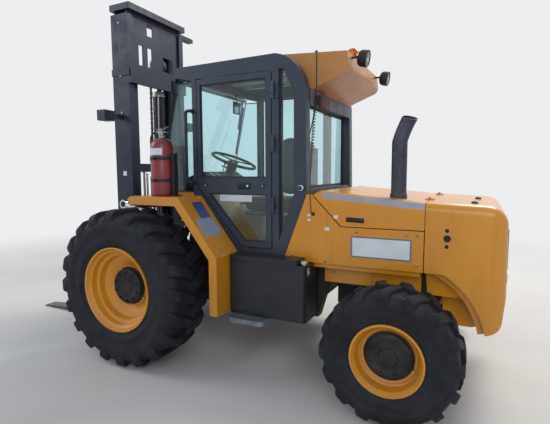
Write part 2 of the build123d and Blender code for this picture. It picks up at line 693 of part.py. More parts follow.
def cord_tube(points, radius):
    """A round cord along a route of points."""
    at, radii = cord_line(points)
    edges = []
    start = Vector(*at[0])
    for i, bend_r in enumerate(radii):
        b = Vector(*at[i + 1])
        v1 = (b - Vector(*at[i])).normalized()
        v2 = (Vector(*at[i + 2]) - b).normalized()
        half_turn = radians(v1.get_angle(v2)) / 2
        cut = bend_r * tan(half_turn)
        arc_from = b - v1 * cut
        arc_to = b + v2 * cut
        middle = b + (v2 - v1).normalized() * (bend_r / cos(half_turn) - bend_r)
        edges.append(Edge.make_line(start, arc_from))
        edges.append(Edge.make_three_point_arc(arc_from, middle, arc_to))
        start = arc_to
    edges.append(Edge.make_line(start, Vector(*at[-1])))
    path = Wire(edges)
    with BuildSketch(Plane(origin=at[0], z_dir=Vector(*at[1]) - Vector(*at[0]))) as section:
        Circle(radius)
    sweep(section.sketch, path=path)
    print("cord length", round(path.length, 1))


# Lead of the rear work lamps: down the cowl's side, coiled, then out to the side panel
lead_r = 3.5
coil_r = 12
lead_y = cowl_half + lead_r + seat
lead_clip_z = 2337.8
coil_top = (-1368.1, lead_y, 2086)
coil_end = (-1374, 588, 1480)
grommet_at = (-1400, 1200)
grommet_face = body_half + 8
lead_top = [(-1366, lead_y, lead_clip_z), (-1367.1, lead_y, 2296), (-1367.9, lead_y, 2254),
            (-1368.4, lead_y, 2212), (-1368.6, lead_y, 2170), (-1368.5, lead_y, 2128), coil_top]
lead_tail = [coil_end, (-1376, 597.5, 1440), (-1379, 607.5, 1400), (-1383, 617.5, 1361),
             (-1387.5, 627, 1323), (-1392, 635, 1290), (-1396, 640, 1262), (-1398.5, 641.8, 1240),
             (-1399.6, 641, 1221.5), (-1400, 634.1, 1207.5), (-1400, 622, 1200),
             (-1400, grommet_face, 1200)]

# Small black fittings: grab handles, mirror, rear wiper motor, lead clip and grommet
with BuildPart() as cab_fittings:
    for side in (1, -1):
        post(-320, side * 615, 12, 1400, 1990)
        for z in (1412, 1978):
            slab(-332, -370, side * (cab_half - 0), side * 620, z - 10, z + 10)
    slab(rear_pane_x - pane - seat, rear_pane_x - pane - 12, -25, 0, 1700, rear_head_z - seat)
    slab(-1356, -1376, 430, lead_y + lead_r + 2, lead_clip_z, lead_clip_z + 9)
    cross_bar(*grommet_at, 13, body_half + seat, grommet_face)
    slab(-250, -272, -330, -200, 2060, 2180)
    slab(-256, -266, -275, -255, 2180, 2245 - seat)

# Lamps: rear work lamps on brackets under the roof cowl
work_lamp_r = 58
work_lamp_y = 355
with BuildPart() as lamps:
    for side in (1, -1):
        slab(-1594.5, -1668, side * (work_lamp_y - 10), side * (work_lamp_y + 10), 2290, 2302)
        cross = Plane(origin=(front_axle_x - 1655, side * work_lamp_y, 2286), z_dir=(-1, 0, -0.2))
        with BuildSketch(cross):
            Circle(work_lamp_r)
        extrude(amount=55)
        slab(tail_face + 40 - seat, tail, side * (tail_lamp_y0 + seat), side * (tail_lamp_y1 - seat),
             tail_lamp_low + seat, tail_lamp_high - seat)
with BuildPart() as beacon:
    post(-1500, 0, 60, 2332 + seat, 2352)
    post(-1500, 0, 48, 2352, 2462)
    chamfer(beacon.edges().group_by(Axis.Z)[-1], 30, 18)

# Fire extinguisher on the left fender, strapped to a post and fitted with a hose
ext_x = -190
ext_y = 750
ext_r = 92
ext_post_x = ext_x - ext_r - 25
hose_end = 1590
with BuildPart() as extinguisher:
    post(ext_x, ext_y, ext_r, fender_top + seat, 1765)
    chamfer(extinguisher.edges().group_by(Axis.Z)[-1], 30, 50)
    post(ext_x, ext_y, 20, 1740, 1815)
    slab(ext_x - 60, ext_x + 45, ext_y - 14, ext_y + 14, 1832, 1850)
    slab(ext_x - 20, ext_x + 45, ext_y - 16, ext_y + 16, 1790, 1826)
    slab(ext_x - 14, ext_x + 14, ext_y - 12, ext_y + 12, 1820, 1840)
with BuildPart() as extinguisher_post:
    slab(ext_post_x - 15, ext_post_x + 15, ext_y - 20, ext_y + 20, fender_top + seat, 1640)
    slab(ext_post_x - 30, ext_post_x + 15, ext_y - 45, ext_y + 45, fender_top + seat, fender_top + 8)
    for z in (1420, 1590):
        post(ext_x, ext_y, ext_r + 4, z, z + 26)
        slab(ext_post_x, ext_x, ext_y - 20, ext_y + 20, z, z + 26)
        post(ext_x, ext_y, ext_r + seat, z - 1, z + 27, Mode.SUBTRACT)
    slab(ext_x + ext_r + 1, ext_x + ext_r + 28, ext_y - 12, ext_y + 12, hose_end - 15, hose_end)
with BuildPart() as extinguisher_hose:
    cord_tube([(ext_x + 45, ext_y, 1808), (ext_x + 74, ext_y, 1808), (ext_x + 99, ext_y, 1793.5),
               (ext_x + 113.5, ext_y, 1768.5), (ext_x + 114.5, ext_y, 1738), (ext_x + 113, ext_y, 1700),
               (ext_x + 110.5, ext_y, 1662), (ext_x + 108.4, ext_y, 1626),
               (ext_x + 108, ext_y, hose_end)], 8)


with BuildPart() as lamp_lead:
    cord_tube(lead_top, lead_r)
    cord_tube(lead_tail, lead_r)
with BuildPart() as lamp_lead_coil:
    coil_dir = (Vector(*coil_end) - Vector(*coil_top)).normalized()
    coil_origin = Vector(front_axle_x + coil_top[0], coil_top[1], coil_top[2])
    coil_length = (Vector(*coil_end) - Vector(*coil_top)).length
    with BuildSketch(Plane(origin=coil_origin, z_dir=coil_dir)):
        Circle(coil_r)
    extrude(amount=coil_length)

# Tilting mast stage: channel rails, cross members, pivot ears and lamp boxes
def rail_section(y_web, y_tip_out, y_tip_in, x0, x1, z0, z1, side):
    """An upright rolled rail: web with flanges towards one or both sides."""
    slab(x0, x1, side * y_web, side * (y_web - web), z0, z1)
    for a, b in ((x0, x0 + flange), (x1 - flange, x1)):
        slab(a, b, side * y_tip_out, side * y_tip_in, z0, z1)


with BuildPart() as mast_outer:
    for side in (1, -1):
        rail_section(mast_half, mast_half, mast_half - outer_flange_w, mast_rear, mast_front,
                     mast_foot, outer_top, side)
        ear_out = mast_half
        slab(pivot_x - 60, mast_rear + 5, side * ear_out, side * (ear_out - 45), pivot_z - 90, pivot_z + 90)
        slab(tilt_lug[0] - 45, tilt_lug[0] + 45, side * mast_half, side * (tilt_y - 30),
             tilt_lug[1] - 45, tilt_lug[1] + 45)
        cross_bar(*tilt_lug, tilt_pin_r, side * mast_half, side * (tilt_y + 30))
        slab(mast_rear - 12, mast_front + 4, side * (mast_half + 8), side * (mast_half - 3), 2390, 2450)
    for z0, z1 in ((mast_foot, 330), (1150, 1270), (2320, 2450)):
        slab(mast_rear - 30, mast_rear, -mast_half, mast_half, z0, z1)
    slab(mast_rear - 30, 650, ram_y - 80, ram_y + 80, mast_foot, mast_foot + 25)
    for side in (1, -1):
        cross_bar(pivot_x, pivot_z, pivot_r + fit, side * 300, side * 410, Mode.SUBTRACT)
        slab(570, 610, side * (mast_half - 5), side * 530, 1990, 2030)
        slab(548, 632, side * 520, side * 640, 1960, 2050)

# The upright lift ram on the outer stage, and its rod on the inner one
ram_foot = mast_foot + 25
ram_top = 2315
with BuildPart() as lift_ram:
    post(ram_x, ram_y, ram_r, ram_foot + seat, ram_top)
    post(ram_x, ram_y, ram_bore, ram_foot + 60, ram_top - 40, Mode.SUBTRACT)
    post(ram_x, ram_y, ram_rod_r + fit, ram_top - 60, ram_top + 1, Mode.SUBTRACT)
with BuildPart() as lift_rod:
    post(ram_x, ram_y, ram_rod_r, ram_foot + 100, 2500 - seat)
    post(ram_x, ram_y, ram_bore - fit, ram_foot + 100, ram_foot + 160)

# Inner stage: rails inside the channels, cross members, slotted head plate and top bar
gap = swing
in_rear = mast_rear + flange + gap
in_front = mast_front - flange - gap
in_web = mast_half - web - gap - 45
top_bar_h = 55
with BuildPart() as mast_inner:
    for side in (1, -1):
        rail_section(in_web, mast_half - web - gap, in_web - web - 44, in_rear, in_front, 420,
                     mast_top - top_bar_h, side)
        slab(in_rear, in_front, side * in_web, side * (in_web - web), 250, 420)
        roller_r = (mast_front - mast_rear) / 2 - flange - 0.5
        cross_bar((mast_rear + mast_front) / 2, 335, roller_r, side * in_web, side * (in_web + 40))
    slab(mast_rear - 30, mast_front + 10, -mast_half - 2, mast_half + 2, mast_top - top_bar_h, mast_top)
    slab(mast_rear + 60, mast_rear + 130, -mast_half + 10, -mast_half - 260, mast_top - 80,
         mast_top - 40)
    for z0, z1 in ((420, 500), (1500, 1580)):
        slab(in_rear - 12, in_rear - 1, -in_web, in_web, z0, z1)
        for side in (1, -1):
            slab(in_rear - 12, in_rear + 5, side * in_web, side * (in_web - 40), z0, z1)
    slab(mast_rear + 22, mast_rear + 34, -in_web + web, in_web - web, 2410, mast_top - top_bar_h)
    for y0, y1, z0, z1 in ((40, 118, 2812, 2930), (55, 117, 2515, 2700), (180, 235, 2515, 2700),
                           (ram_y - 165, ram_y - 8, 2515, 2660)):
        slab(mast_rear + 10, mast_rear + 40, y0, y1, z0, z1, Mode.SUBTRACT)
    slab(mast_rear + 22, ram_x + 50, ram_y - 80, ram_y + 80, 2500, 2520)
    for offset in (-chain_offset, chain_offset):
        cross_bar(ram_x, pulley_z, pulley_r, ram_y + offset - chain_w / 2, ram_y + offset + chain_w / 2)
    cross_bar(ram_x, pulley_z, 18, ram_y - 80, ram_y + 80)
    for side in (1, -1):
        slab(ram_x - 24, ram_x + 24, ram_y + side * 70, ram_y + side * 80, 2519, pulley_z + 24)

# Lift chains: the long runs hang from the pulleys down to the carriage
with BuildPart() as lift_chains:
    for offset in (-chain_offset, chain_offset):
        slab(ram_x + pulley_r + seat, ram_x + pulley_r + 12, ram_y + offset - chain_w / 2,
             ram_y + offset + chain_w / 2, 560, pulley_z)

# Carriage: side plates with rollers, two fork bars and an upright at each end
plate_y = in_web - web - 44 - gap
bar_back = 740
bar_front = fork_face - seat
with BuildPart() as carriage:
    for side in (1, -1):
        slab(in_rear + 30, bar_back, side * (plate_y - 20), side * plate_y, 170, 640)
        for z in (230, 560):
            cross_bar((mast_rear + mast_front) / 2, z, (in_front - in_rear) / 2 - flange - 0.5,
                      side * plate_y, side * (plate_y + 42))
        slab(bar_back, bar_front, side * 430, side * 460, 150, 640)
    slab(ram_x + pulley_r + 12 + seat, bar_back, -plate_y + 1, plate_y - 1, 560, 640)
    for z0, z1 in ((150, 210), (540, 640)):
        slab(bar_back, bar_front, -carriage_half, carriage_half, z0, z1)

# Forks: hooked shank and tapered blade
forks = {}
for hand, side in (("left", 1), ("right", -1)):
    with BuildPart() as fork:
        y_mid = side * fork_y
        side_prism([
            (fork_face, 655), (fork_face, 0), (fork_tip, 0), (fork_tip, 12),
            (fork_tip - 420, fork_thickness), (fork_face + fork_thickness + 30, fork_thickness),
            (fork_face + fork_thickness, fork_thickness + 30), (fork_face + fork_thickness, 655)],
            y_mid + fork_w / 2, y_mid - fork_w / 2)
        slab(bar_back - 25, fork_face + 10, y_mid - fork_w / 2, y_mid + fork_w / 2, 640 + seat, 665)
    forks[hand] = fork

# Tilt cylinders beside the mast: barrels on the frame, rods to the lugs
run = hypot(tilt_lug[0] - tilt_base[0], tilt_lug[1] - tilt_base[1])
along = ((tilt_lug[0] - tilt_base[0]) / run, (tilt_lug[1] - tilt_base[1]) / run)


def tilt_point(distance):
    """A point on the tilt cylinder's line, measured from its base pin."""
    return (tilt_base[0] + along[0] * distance, tilt_base[1] + along[1] * distance)


barrel_end = 600
with BuildPart() as tilt_barrels:
    for side in (1, -1):
        rod_between(tilt_point(105), tilt_point(barrel_end), side * tilt_y, tilt_barrel_r)
        rod_between(tilt_point(20), tilt_point(110), side * tilt_y, tilt_rod_r)
        rod_between(tilt_point(130), tilt_point(barrel_end + 1), side * tilt_y, tilt_rod_r + fit,
                    Mode.SUBTRACT)
        cross_bar(*tilt_base, 40, side * (tilt_y - 25), side * (tilt_y + 25))
        cross_bar(*tilt_base, 20 + fit, side * (tilt_y - 26), side * (tilt_y + 26), Mode.SUBTRACT)
with BuildPart() as tilt_rods:
    for side in (1, -1):
        rod_between(tilt_point(300), tilt_point(run - 30), side * tilt_y, tilt_rod_r)
        cross_bar(*tilt_lug, 42, side * (tilt_y - 20), side * (tilt_y + 20))
        cross_bar(*tilt_lug, tilt_pin_r + 7, side * (tilt_y - 21), side * (tilt_y + 21), Mode.SUBTRACT)

pieces = {
    "frame": frame, "front_axle": front_axle, "rear_axle": rear_axle_beam, "steer_rod": steer_rod,
    "knuckle_left": knuckles["left"], "knuckle_right": knuckles["right"],
    "side_tanks": side_tanks, "steps": steps, "fenders": fenders, "engine": engine,
    "side_panels": side_panels, "hood": hood, "counterweight": counterweight,
    "rear_grille": rear_grille, "exhaust_stack": exhaust_stack, "cab_frame": cab_frame,
    "cab_floor": cab_floor, "roof": roof, "roof_cowl": roof_cowl, "cab_glass": cab_glass,
    "door": door, "door_glass": door_glass, "seat_base": seat_base, "seat_pads": seat_pads,
    "console": console, "steering_wheel": steering_wheel, "cab_fittings": cab_fittings,
    "lamps": lamps, "beacon": beacon, "extinguisher": extinguisher,
    "extinguisher_post": extinguisher_post, "extinguisher_hose": extinguisher_hose,
    "lamp_lead": lamp_lead, "lamp_lead_coil": lamp_lead_coil, "mast_outer": mast_outer,
    "lift_ram": lift_ram, "lift_rod": lift_rod, "mast_inner": mast_inner,
    "lift_chains": lift_chains, "carriage": carriage, "fork_left": forks["left"],
    "fork_right": forks["right"], "tilt_barrels": tilt_barrels, "tilt_rods": tilt_rods,
}
pieces.update(wheel_parts)
for name, piece in pieces.items():
    piece.part.label = name
    export_step(piece.part, f"parts/{name}.step")
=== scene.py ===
"""Rough terrain forklift: camera, light, finishes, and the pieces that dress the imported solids.

Metres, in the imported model's frame. Places are written from the front axle, x forward, y to the
machine's left and z up, as in the part's source, and moved forward by AXLE_X when they are made.
"""
import math

import bmesh
import bpy
from mathutils import Euler, Matrix, Vector


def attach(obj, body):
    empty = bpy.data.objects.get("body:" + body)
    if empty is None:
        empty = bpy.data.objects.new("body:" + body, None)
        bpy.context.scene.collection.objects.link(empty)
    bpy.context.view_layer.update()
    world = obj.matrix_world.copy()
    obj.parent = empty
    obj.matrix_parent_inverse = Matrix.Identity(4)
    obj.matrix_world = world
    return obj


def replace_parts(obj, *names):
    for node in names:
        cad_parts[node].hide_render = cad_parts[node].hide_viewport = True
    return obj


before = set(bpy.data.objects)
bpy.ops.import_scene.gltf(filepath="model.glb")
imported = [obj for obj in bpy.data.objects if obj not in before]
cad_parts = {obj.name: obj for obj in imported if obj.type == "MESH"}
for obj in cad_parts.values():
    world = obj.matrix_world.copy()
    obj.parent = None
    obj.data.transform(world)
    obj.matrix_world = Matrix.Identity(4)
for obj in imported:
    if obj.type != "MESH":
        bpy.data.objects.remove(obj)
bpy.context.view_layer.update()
scene = bpy.context.scene
AXLE_X = 0.35

# Sizes shared with the part's source
REAR_AXLE = -2.0
BODY_HALF = 0.6
DOOR_FACE = 0.58
GLASS_FACE = 0.5652
EXTINGUISHER_X, EXTINGUISHER_Y = -0.19, 0.75
STACK_X, STACK_Y = -1.954, 0.45
RAM_X, RAM_Y = 0.575, -0.092
CHAIN_OFFSETS = (-0.045, 0.045)
ROOF_SLOTS = (-0.33, -0.11, 0.11, 0.33)


# Camera: the photograph's place and angle
def set_camera():
    data = bpy.data.cameras.new("camera")
    camera = bpy.data.objects.new("camera", data)
    scene.collection.objects.link(camera)
    heading, dip, roll = math.radians(26.27), math.radians(5.6), math.radians(-0.24)
    look = Vector((math.sin(heading) * math.cos(dip), -math.cos(heading) * math.cos(dip),
                   -math.sin(dip)))
    camera.rotation_mode = "QUATERNION"
    camera.rotation_quaternion = (look.to_track_quat("-Z", "Y")
                                  @ Euler((0, 0, roll)).to_quaternion())
    camera.location = (-2.446 + AXLE_X, 3.323, 1.4925)
    data.sensor_width = 36
    data.lens = 27.24
    data.shift_y = 0.0018
    data.clip_start = 0.05
    data.clip_end = 200
    scene.camera = camera


# Node helpers
def rgb(r, g, b):
    """A display colour, 0 to 255, as linear light."""
    def linear(c):
        c /= 255
        return c / 12.92 if c <= 0.04045 else ((c + 0.055) / 1.055) ** 2.4
    return (linear(r), linear(g), linear(b), 1.0)


class Nodes:
    """One material's node tree, with the few kinds of node used here."""

    def __init__(self, name):
        self.material = bpy.data.materials.new(name)
        self.material.use_nodes = True
        self.tree = self.material.node_tree
        self.bsdf = self.tree.nodes["Principled BSDF"]
        self.coords = self.tree.nodes.new("ShaderNodeTexCoord").outputs["Object"]

    def put(self, value, socket):
        if isinstance(value, bpy.types.NodeSocket):
            self.tree.links.new(value, socket)
        else:
            socket.default_value = value

    def stretch(self, scale):
        node = self.tree.nodes.new("ShaderNodeMapping")
        self.put(self.coords, node.inputs["Vector"])
        self.put(scale, node.inputs["Scale"])
        return node.outputs["Vector"]

    def noise(self, scale, detail=4.0, where=None):
        node = self.tree.nodes.new("ShaderNodeTexNoise")
        self.put(where or self.coords, node.inputs["Vector"])
        self.put(scale, node.inputs["Scale"])
        self.put(detail, node.inputs["Detail"])
        return node.outputs["Fac"]

    def spread(self, value, low, high, to_low=0.0, to_high=1.0):
        node = self.tree.nodes.new("ShaderNodeMapRange")
        node.interpolation_type = "SMOOTHSTEP"
        for v, key in ((value, "Value"), (low, "From Min"), (high, "From Max"),
                       (to_low, "To Min"), (to_high, "To Max")):
            self.put(v, node.inputs[key])
        return node.outputs["Result"]

    def math(self, operation, a, b=0.0):
        node = self.tree.nodes.new("ShaderNodeMath")
        node.operation = operation
        self.put(a, node.inputs[0])
        self.put(b, node.inputs[1])
        return node.outputs[0]

    def blend(self, share, a, b):
        node = self.tree.nodes.new("ShaderNodeMix")
        node.data_type = "RGBA"
        self.put(share, node.inputs["Factor"])
        self.put(a, node.inputs["A"])
        self.put(b, node.inputs["B"])
        return node.outputs["Result"]

    def axis(self, name):
        node = self.tree.nodes.new("ShaderNodeSeparateXYZ")
        self.put(self.coords, node.inputs[0])
        return node.outputs[name]

    def up(self):
        """The normal's Z: 1 where the surface faces up."""
        node = self.tree.nodes.new("ShaderNodeNewGeometry")
        split = self.tree.nodes.new("ShaderNodeSeparateXYZ")
        self.put(node.outputs["Normal"], split.inputs[0])
        return split.outputs["Z"]

    def bump(self, height, strength, distance=0.002):
        node = self.tree.nodes.new("ShaderNodeBump")
        self.put(height, node.inputs["Height"])
        node.inputs["Strength"].default_value = strength
        node.inputs["Distance"].default_value = distance
        self.put(node.outputs["Normal"], self.bsdf.inputs["Normal"])

    def set(self, **values):
        for key, value in values.items():
            self.bsdf.inputs[key.replace("_", " ")].default_value = value


def coat(name, tones, rough, patch=2.2, grain=90.0, bump=0.12, dust=None, dust_z=(0.3, 1.3),
         dust_most=0.5, streaks=0.0, metal=0.0, clear=0.0, chips=None, gloss=0.5):
    """A painted or moulded surface: two tones in soft patches, fine grain, dust settling low
    and on top faces, faint run marks of a third tone, and chips. Colours are 0 to 255."""
    n = Nodes(name)
    tones = [rgb(*tone) for tone in tones]
    colour = n.blend(n.spread(n.noise(patch), 0.36, 0.64), tones[0], tones[1])
    shine = n.spread(n.noise(patch * 5, 6), 0.3, 0.7, rough[0], rough[1])
    if streaks:
        runs = n.noise(1.0, 3, n.stretch((26, 26, 1.6)))
        colour = n.blend(n.math("MULTIPLY", n.spread(runs, 0.55, 0.75), streaks), colour, tones[2])
    if dust:
        low = n.spread(n.axis("Z"), dust_z[1], dust_z[0])
        flat = n.spread(n.up(), 0.5, 1.0, 0, 0.7)
        cover = n.math("MULTIPLY", n.math("MAXIMUM", low, flat), n.spread(n.noise(9, 6), 0.3, 0.75))
        cover = n.math("MULTIPLY", cover, dust_most)
        colour = n.blend(cover, colour, rgb(*dust))
        shine = n.math("MAXIMUM", shine, n.math("MULTIPLY", cover, 1.1))
    if chips:
        spots = n.spread(n.noise(34, 8), 0.70, 0.73)
        colour = n.blend(n.math("MULTIPLY", spots, 0.8), colour, rgb(*chips))
    n.put(colour, n.bsdf.inputs["Base Color"])
    n.put(shine, n.bsdf.inputs["Roughness"])
    n.bump(n.noise(grain, 5), bump, 0.0015)
    n.set(Metallic=metal, Coat_Weight=clear, Coat_Roughness=0.12, Specular_IOR_Level=gloss)
    return n.material


DUST = (150, 138, 118)
yellow = coat("paint_yellow", ((212, 140, 18), (203, 131, 16), (178, 110, 16)),
              (0.30, 0.42), dust=DUST, dust_z=(0.2, 0.9), dust_most=0.20, streaks=0.35,
              grain=160, bump=0.05, clear=0.35)
cowl_paint = coat("paint_cowl", ((184, 128, 68), (175, 121, 64), (160, 108, 58)),
                  (0.34, 0.46), dust=DUST, dust_z=(0.2, 0.9), dust_most=0.3, streaks=0.15,
                  grain=160, bump=0.05, clear=0.15, gloss=0.4)
charcoal = coat("paint_charcoal", ((50, 59, 74), (43, 51, 65), (34, 40, 51)),
                (0.36, 0.50), dust=DUST, dust_z=(0.2, 1.2), dust_most=0.2, streaks=0.3,
                grain=200, bump=0.06, clear=0.05, gloss=0.4)
mast_paint = coat("paint_mast", ((36, 46, 64), (30, 38, 54), (23, 28, 38)),
                  (0.40, 0.58), dust=DUST, dust_z=(0.1, 0.8), dust_most=0.2, streaks=0.5,
                  grain=150, bump=0.10, chips=(96, 84, 74), gloss=0.3)
black = coat("paint_black", ((25, 27, 31), (20, 22, 26), (15, 16, 19)),
             (0.45, 0.62), dust=(112, 102, 88), dust_z=(0.3, 1.0), dust_most=0.22, grain=120,
             bump=0.12, gloss=0.3)
plastic = coat("plastic_black", ((30, 33, 38), (24, 27, 32)), (0.48, 0.62), grain=420,
               bump=0.25, gloss=0.35)
tank_skin = coat("tank_black", ((27, 32, 38), (22, 26, 31), (18, 20, 24)), (0.34, 0.50),
                 dust=(104, 98, 90), dust_z=(0.3, 1.1), dust_most=0.12, grain=70, bump=0.06,
                 clear=0.05, gloss=0.4)
rubber = coat("tyre_rubber", ((27, 31, 38), (21, 24, 30)), (0.58, 0.80), patch=5,
              grain=260, bump=0.3, dust=(78, 76, 74), dust_z=(0.0, 1.6), dust_most=0.16,
              gloss=0.25)
cable = coat("cable_rubber", ((34, 36, 40), (28, 30, 33)), (0.45, 0.6), grain=300, bump=0.2)
bright = coat("steel_bright", ((196, 200, 204), (176, 180, 186)), (0.12, 0.26), patch=12,
              grain=90, bump=0.03, metal=1.0)
dull_steel = coat("steel_dull", ((150, 153, 158), (120, 124, 130)), (0.38, 0.58), patch=8,
                  grain=140, bump=0.15, metal=0.9)
chain_steel = coat("steel_chain", ((92, 90, 88), (70, 66, 62), (84, 60, 42)),
                   (0.35, 0.55), patch=20, metal=0.85, streaks=0.5)
exhaust_steel = coat("steel_exhaust", ((62, 65, 78), (50, 52, 62), (72, 56, 48)),
                     (0.45, 0.65), patch=7, grain=180, bump=0.2, metal=0.35, streaks=0.5)
fork_steel = coat("fork_steel", ((48, 50, 54), (58, 56, 54)), (0.42, 0.6), patch=6,
                  grain=110, bump=0.2, chips=(120, 92, 68), dust=DUST, dust_z=(0.0, 0.4),
                  dust_most=0.3)
grating = coat("steel_grating", ((128, 134, 142), (108, 114, 122)), (0.4, 0.58), patch=14,
               grain=160, bump=0.2, metal=0.55, chips=(110, 86, 66))
red = coat("paint_red", ((128, 26, 36), (108, 22, 32)), (0.32, 0.44), patch=4, grain=120,
           bump=0.05, clear=0.2)


def film_coat(name, *tones, patch=7, grain=140):
    return coat(name, tones, (0.35, 0.48), patch=patch, grain=grain, bump=0.04)


white_film = film_coat("film_white", (214, 218, 222), (204, 208, 212), patch=6, grain=120)
blue_film = film_coat("film_blue", (62, 78, 132), (54, 68, 120))
grey_film = film_coat("film_grey", (150, 160, 178), (140, 150, 168))
vinyl = coat("seat_vinyl", ((84, 86, 90), (74, 76, 80)), (0.5, 0.66), patch=5, grain=520,
             bump=0.35)
maroon = coat("lining_maroon", ((92, 52, 54), (80, 46, 48)), (0.55, 0.7), patch=6,
              grain=220, bump=0.2)
edge_film = film_coat("film_edge", (104, 112, 138), (94, 102, 128))
tan_hose = coat("hose_tan", ((168, 142, 108), (150, 126, 96)), (0.5, 0.65), patch=12,
                grain=260, bump=0.2)
pale_hose = coat("hose_pale", ((188, 190, 190), (170, 172, 174)), (0.5, 0.65), patch=12,
                 grain=260, bump=0.2)


def see_through(name, tint, rough, wave):
    """A tinted clear solid with a slow wave in its faces and a little film on them."""
    n = Nodes(name)
    film = n.spread(n.noise(3, 5), 0.4, 0.8, 0, 0.5)
    n.put(n.blend(film, tint, [c * 0.93 for c in tint[:3]] + [1]), n.bsdf.inputs["Base Color"])
    n.put(n.spread(n.noise(12, 5), 0.3, 0.8, rough, rough + 0.05), n.bsdf.inputs["Roughness"])
    n.bump(n.noise(4, 1), wave, 0.002)
    n.set(Transmission_Weight=1.0, IOR=1.45)
    return n.material


window = see_through("glass_tinted", (0.72, 0.90, 0.92, 1), 0.0, 0.02)
amber = see_through("lens_amber", (0.95, 0.42, 0.06, 1), 0.12, 0.1)
clear_lens = see_through("lens_clear", (0.95, 0.97, 0.98, 1), 0.04, 0.1)
frosted = see_through("strip_frosted", (0.95, 0.97, 0.98, 1), 0.9, 0.1)
red_lens = see_through("lens_red", (0.75, 0.06, 0.05, 1), 0.15, 0.1)

DEFAULTS = {
    "body_yellow": yellow, "frame_charcoal": charcoal, "chassis_black": black, "tyre": rubber,
    "bright_steel": bright, "grey_metal": grating, "fork_steel": fork_steel,
    "chain": chain_steel, "exhaust": exhaust_steel, "glass": window, "black_plastic": plastic,
    "seat_black": vinyl, "amber": amber, "lamp": plastic, "red": red, "rubber": cable,
}
NODE_FINISH = {
    "side_tanks": tank_skin, "mast_outer": mast_paint, "mast_inner": mast_paint,
    "carriage": mast_paint, "lift_ram": black, "roof_cowl": cowl_paint,
}


def dress_nodes():
    """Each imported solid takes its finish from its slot, or its own one."""
    for name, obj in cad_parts.items():
        slot = obj.data.materials[0].name.split(".")[0] if obj.data.materials else ""
        finish = NODE_FINISH.get(name) or DEFAULTS.get(slot, plastic)
        for holder in obj.material_slots:
            holder.link = "OBJECT"
            holder.material = finish


# Geometry helper
class Shape:
    """Simple solids gathered in one mesh, in metres from the front axle."""

    def __init__(self):
        self.bm = bmesh.new()

    def _bevel(self, verts, width):
        if width:
            edges = {e for v in verts for e in v.link_edges}
            bmesh.ops.bevel(self.bm, geom=list(edges), offset=width, segments=2, profile=0.5,
                            affect="EDGES")

    def box(self, x, y, z, bevel=0.0, turn=None):
        """A box between x, y and z pairs, turned about its own middle."""
        size = [abs(p[1] - p[0]) for p in (x, y, z)]
        centre = Vector([(p[0] + p[1]) / 2 for p in (x, y, z)])
        place = Matrix.Translation(centre)
        if turn:
            place = place @ turn.to_4x4()
        place = place @ Matrix.Diagonal((*size, 1))
        made = bmesh.ops.create_cube(self.bm, size=1, matrix=place)
        self._bevel(made["verts"], bevel)

    def plate(self, points, thick, bevel=0.0):
        """A flat outline of 3D points, thickened along a vector."""
        base = [self.bm.verts.new(p) for p in points]
        top = [self.bm.verts.new(Vector(p) + Vector(thick)) for p in points]
        self.bm.faces.new(base[::-1])
        self.bm.faces.new(top)
        count = len(points)
        for i in range(count):
            j = (i + 1) % count
            self.bm.faces.new((base[i], base[j], top[j], top[i]))
        self._bevel(base + top, bevel)

    def panel(self, x, y, z, thick, bevel=0.0):
        """An upright rectangle at y, between x and z pairs, thickened along y."""
        self.plate([(x[0], y, z[0]), (x[1], y, z[0]), (x[1], y, z[1]), (x[0], y, z[1])],
                   (0, thick, 0), bevel)

    def lathe(self, profile, origin, axis, count=48):
        """A (radius, offset) outline turned about an axis through origin."""
        axis = Vector(axis).normalized()
        across = axis.orthogonal().normalized()
        other = axis.cross(across)
        rings = []
        for radius, offset in profile:
            centre = Vector(origin) + axis * offset
            if radius < 1e-6:
                rings.append([self.bm.verts.new(centre)])
                continue
            rings.append([self.bm.verts.new(
                centre + radius * (across * math.cos(a) + other * math.sin(a)))
                for a in (2 * math.pi * k / count for k in range(count))])
        for one, two in zip(rings, rings[1:]):
            for k in range(count):
                m = (k + 1) % count
                ring = [one[k % len(one)], one[m % len(one)], two[m % len(two)],
                        two[k % len(two)]]
                corners = list(dict.fromkeys(ring))
                if len(corners) > 2:
                    self.bm.faces.new(corners)

    def rod(self, start, end, radius, tip=None, count=20):
        """A round bar, or a cone where tip differs from radius."""
        start, end = Vector(start), Vector(end)
        long = (end - start).length
        tip = radius if tip is None else tip
        self.lathe([(0, 0), (radius, 0), (tip, long), (0, long)], start, end - start, count)

    def bolts(self, places, axis, radius, height):
        """Hexagon heads on a face."""
        for p in places:
            self.rod(p, Vector(p) + Vector(axis).normalized() * height, radius, radius * 0.92, 6)

    def make(self, name, finish, body="chassis", slot=None, sharp=38):
        """The object: smooth faces, with edges sharper than the angle left hard."""
        bm = self.bm
        bmesh.ops.recalc_face_normals(bm, faces=bm.faces[:])
        for face in bm.faces:
            face.smooth = True
        limit = math.radians(sharp)
        for edge in bm.edges:
            edge.smooth = len(edge.link_faces) == 2 and edge.calc_face_angle(0) < limit
        bm.transform(Matrix.Translation((AXLE_X, 0, 0)))
        mesh = bpy.data.meshes.new(name)
        bm.to_mesh(mesh)
        bm.free()
        return place(bpy.data.objects.new(name, mesh), finish, body, slot)


def place(obj, finish, body="chassis", slot=None):
    """Links a piece, gives it its finish and lets it ride on its body."""
    scene.collection.objects.link(obj)
    obj.data.materials.append(finish)
    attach(obj, body)
    return obj


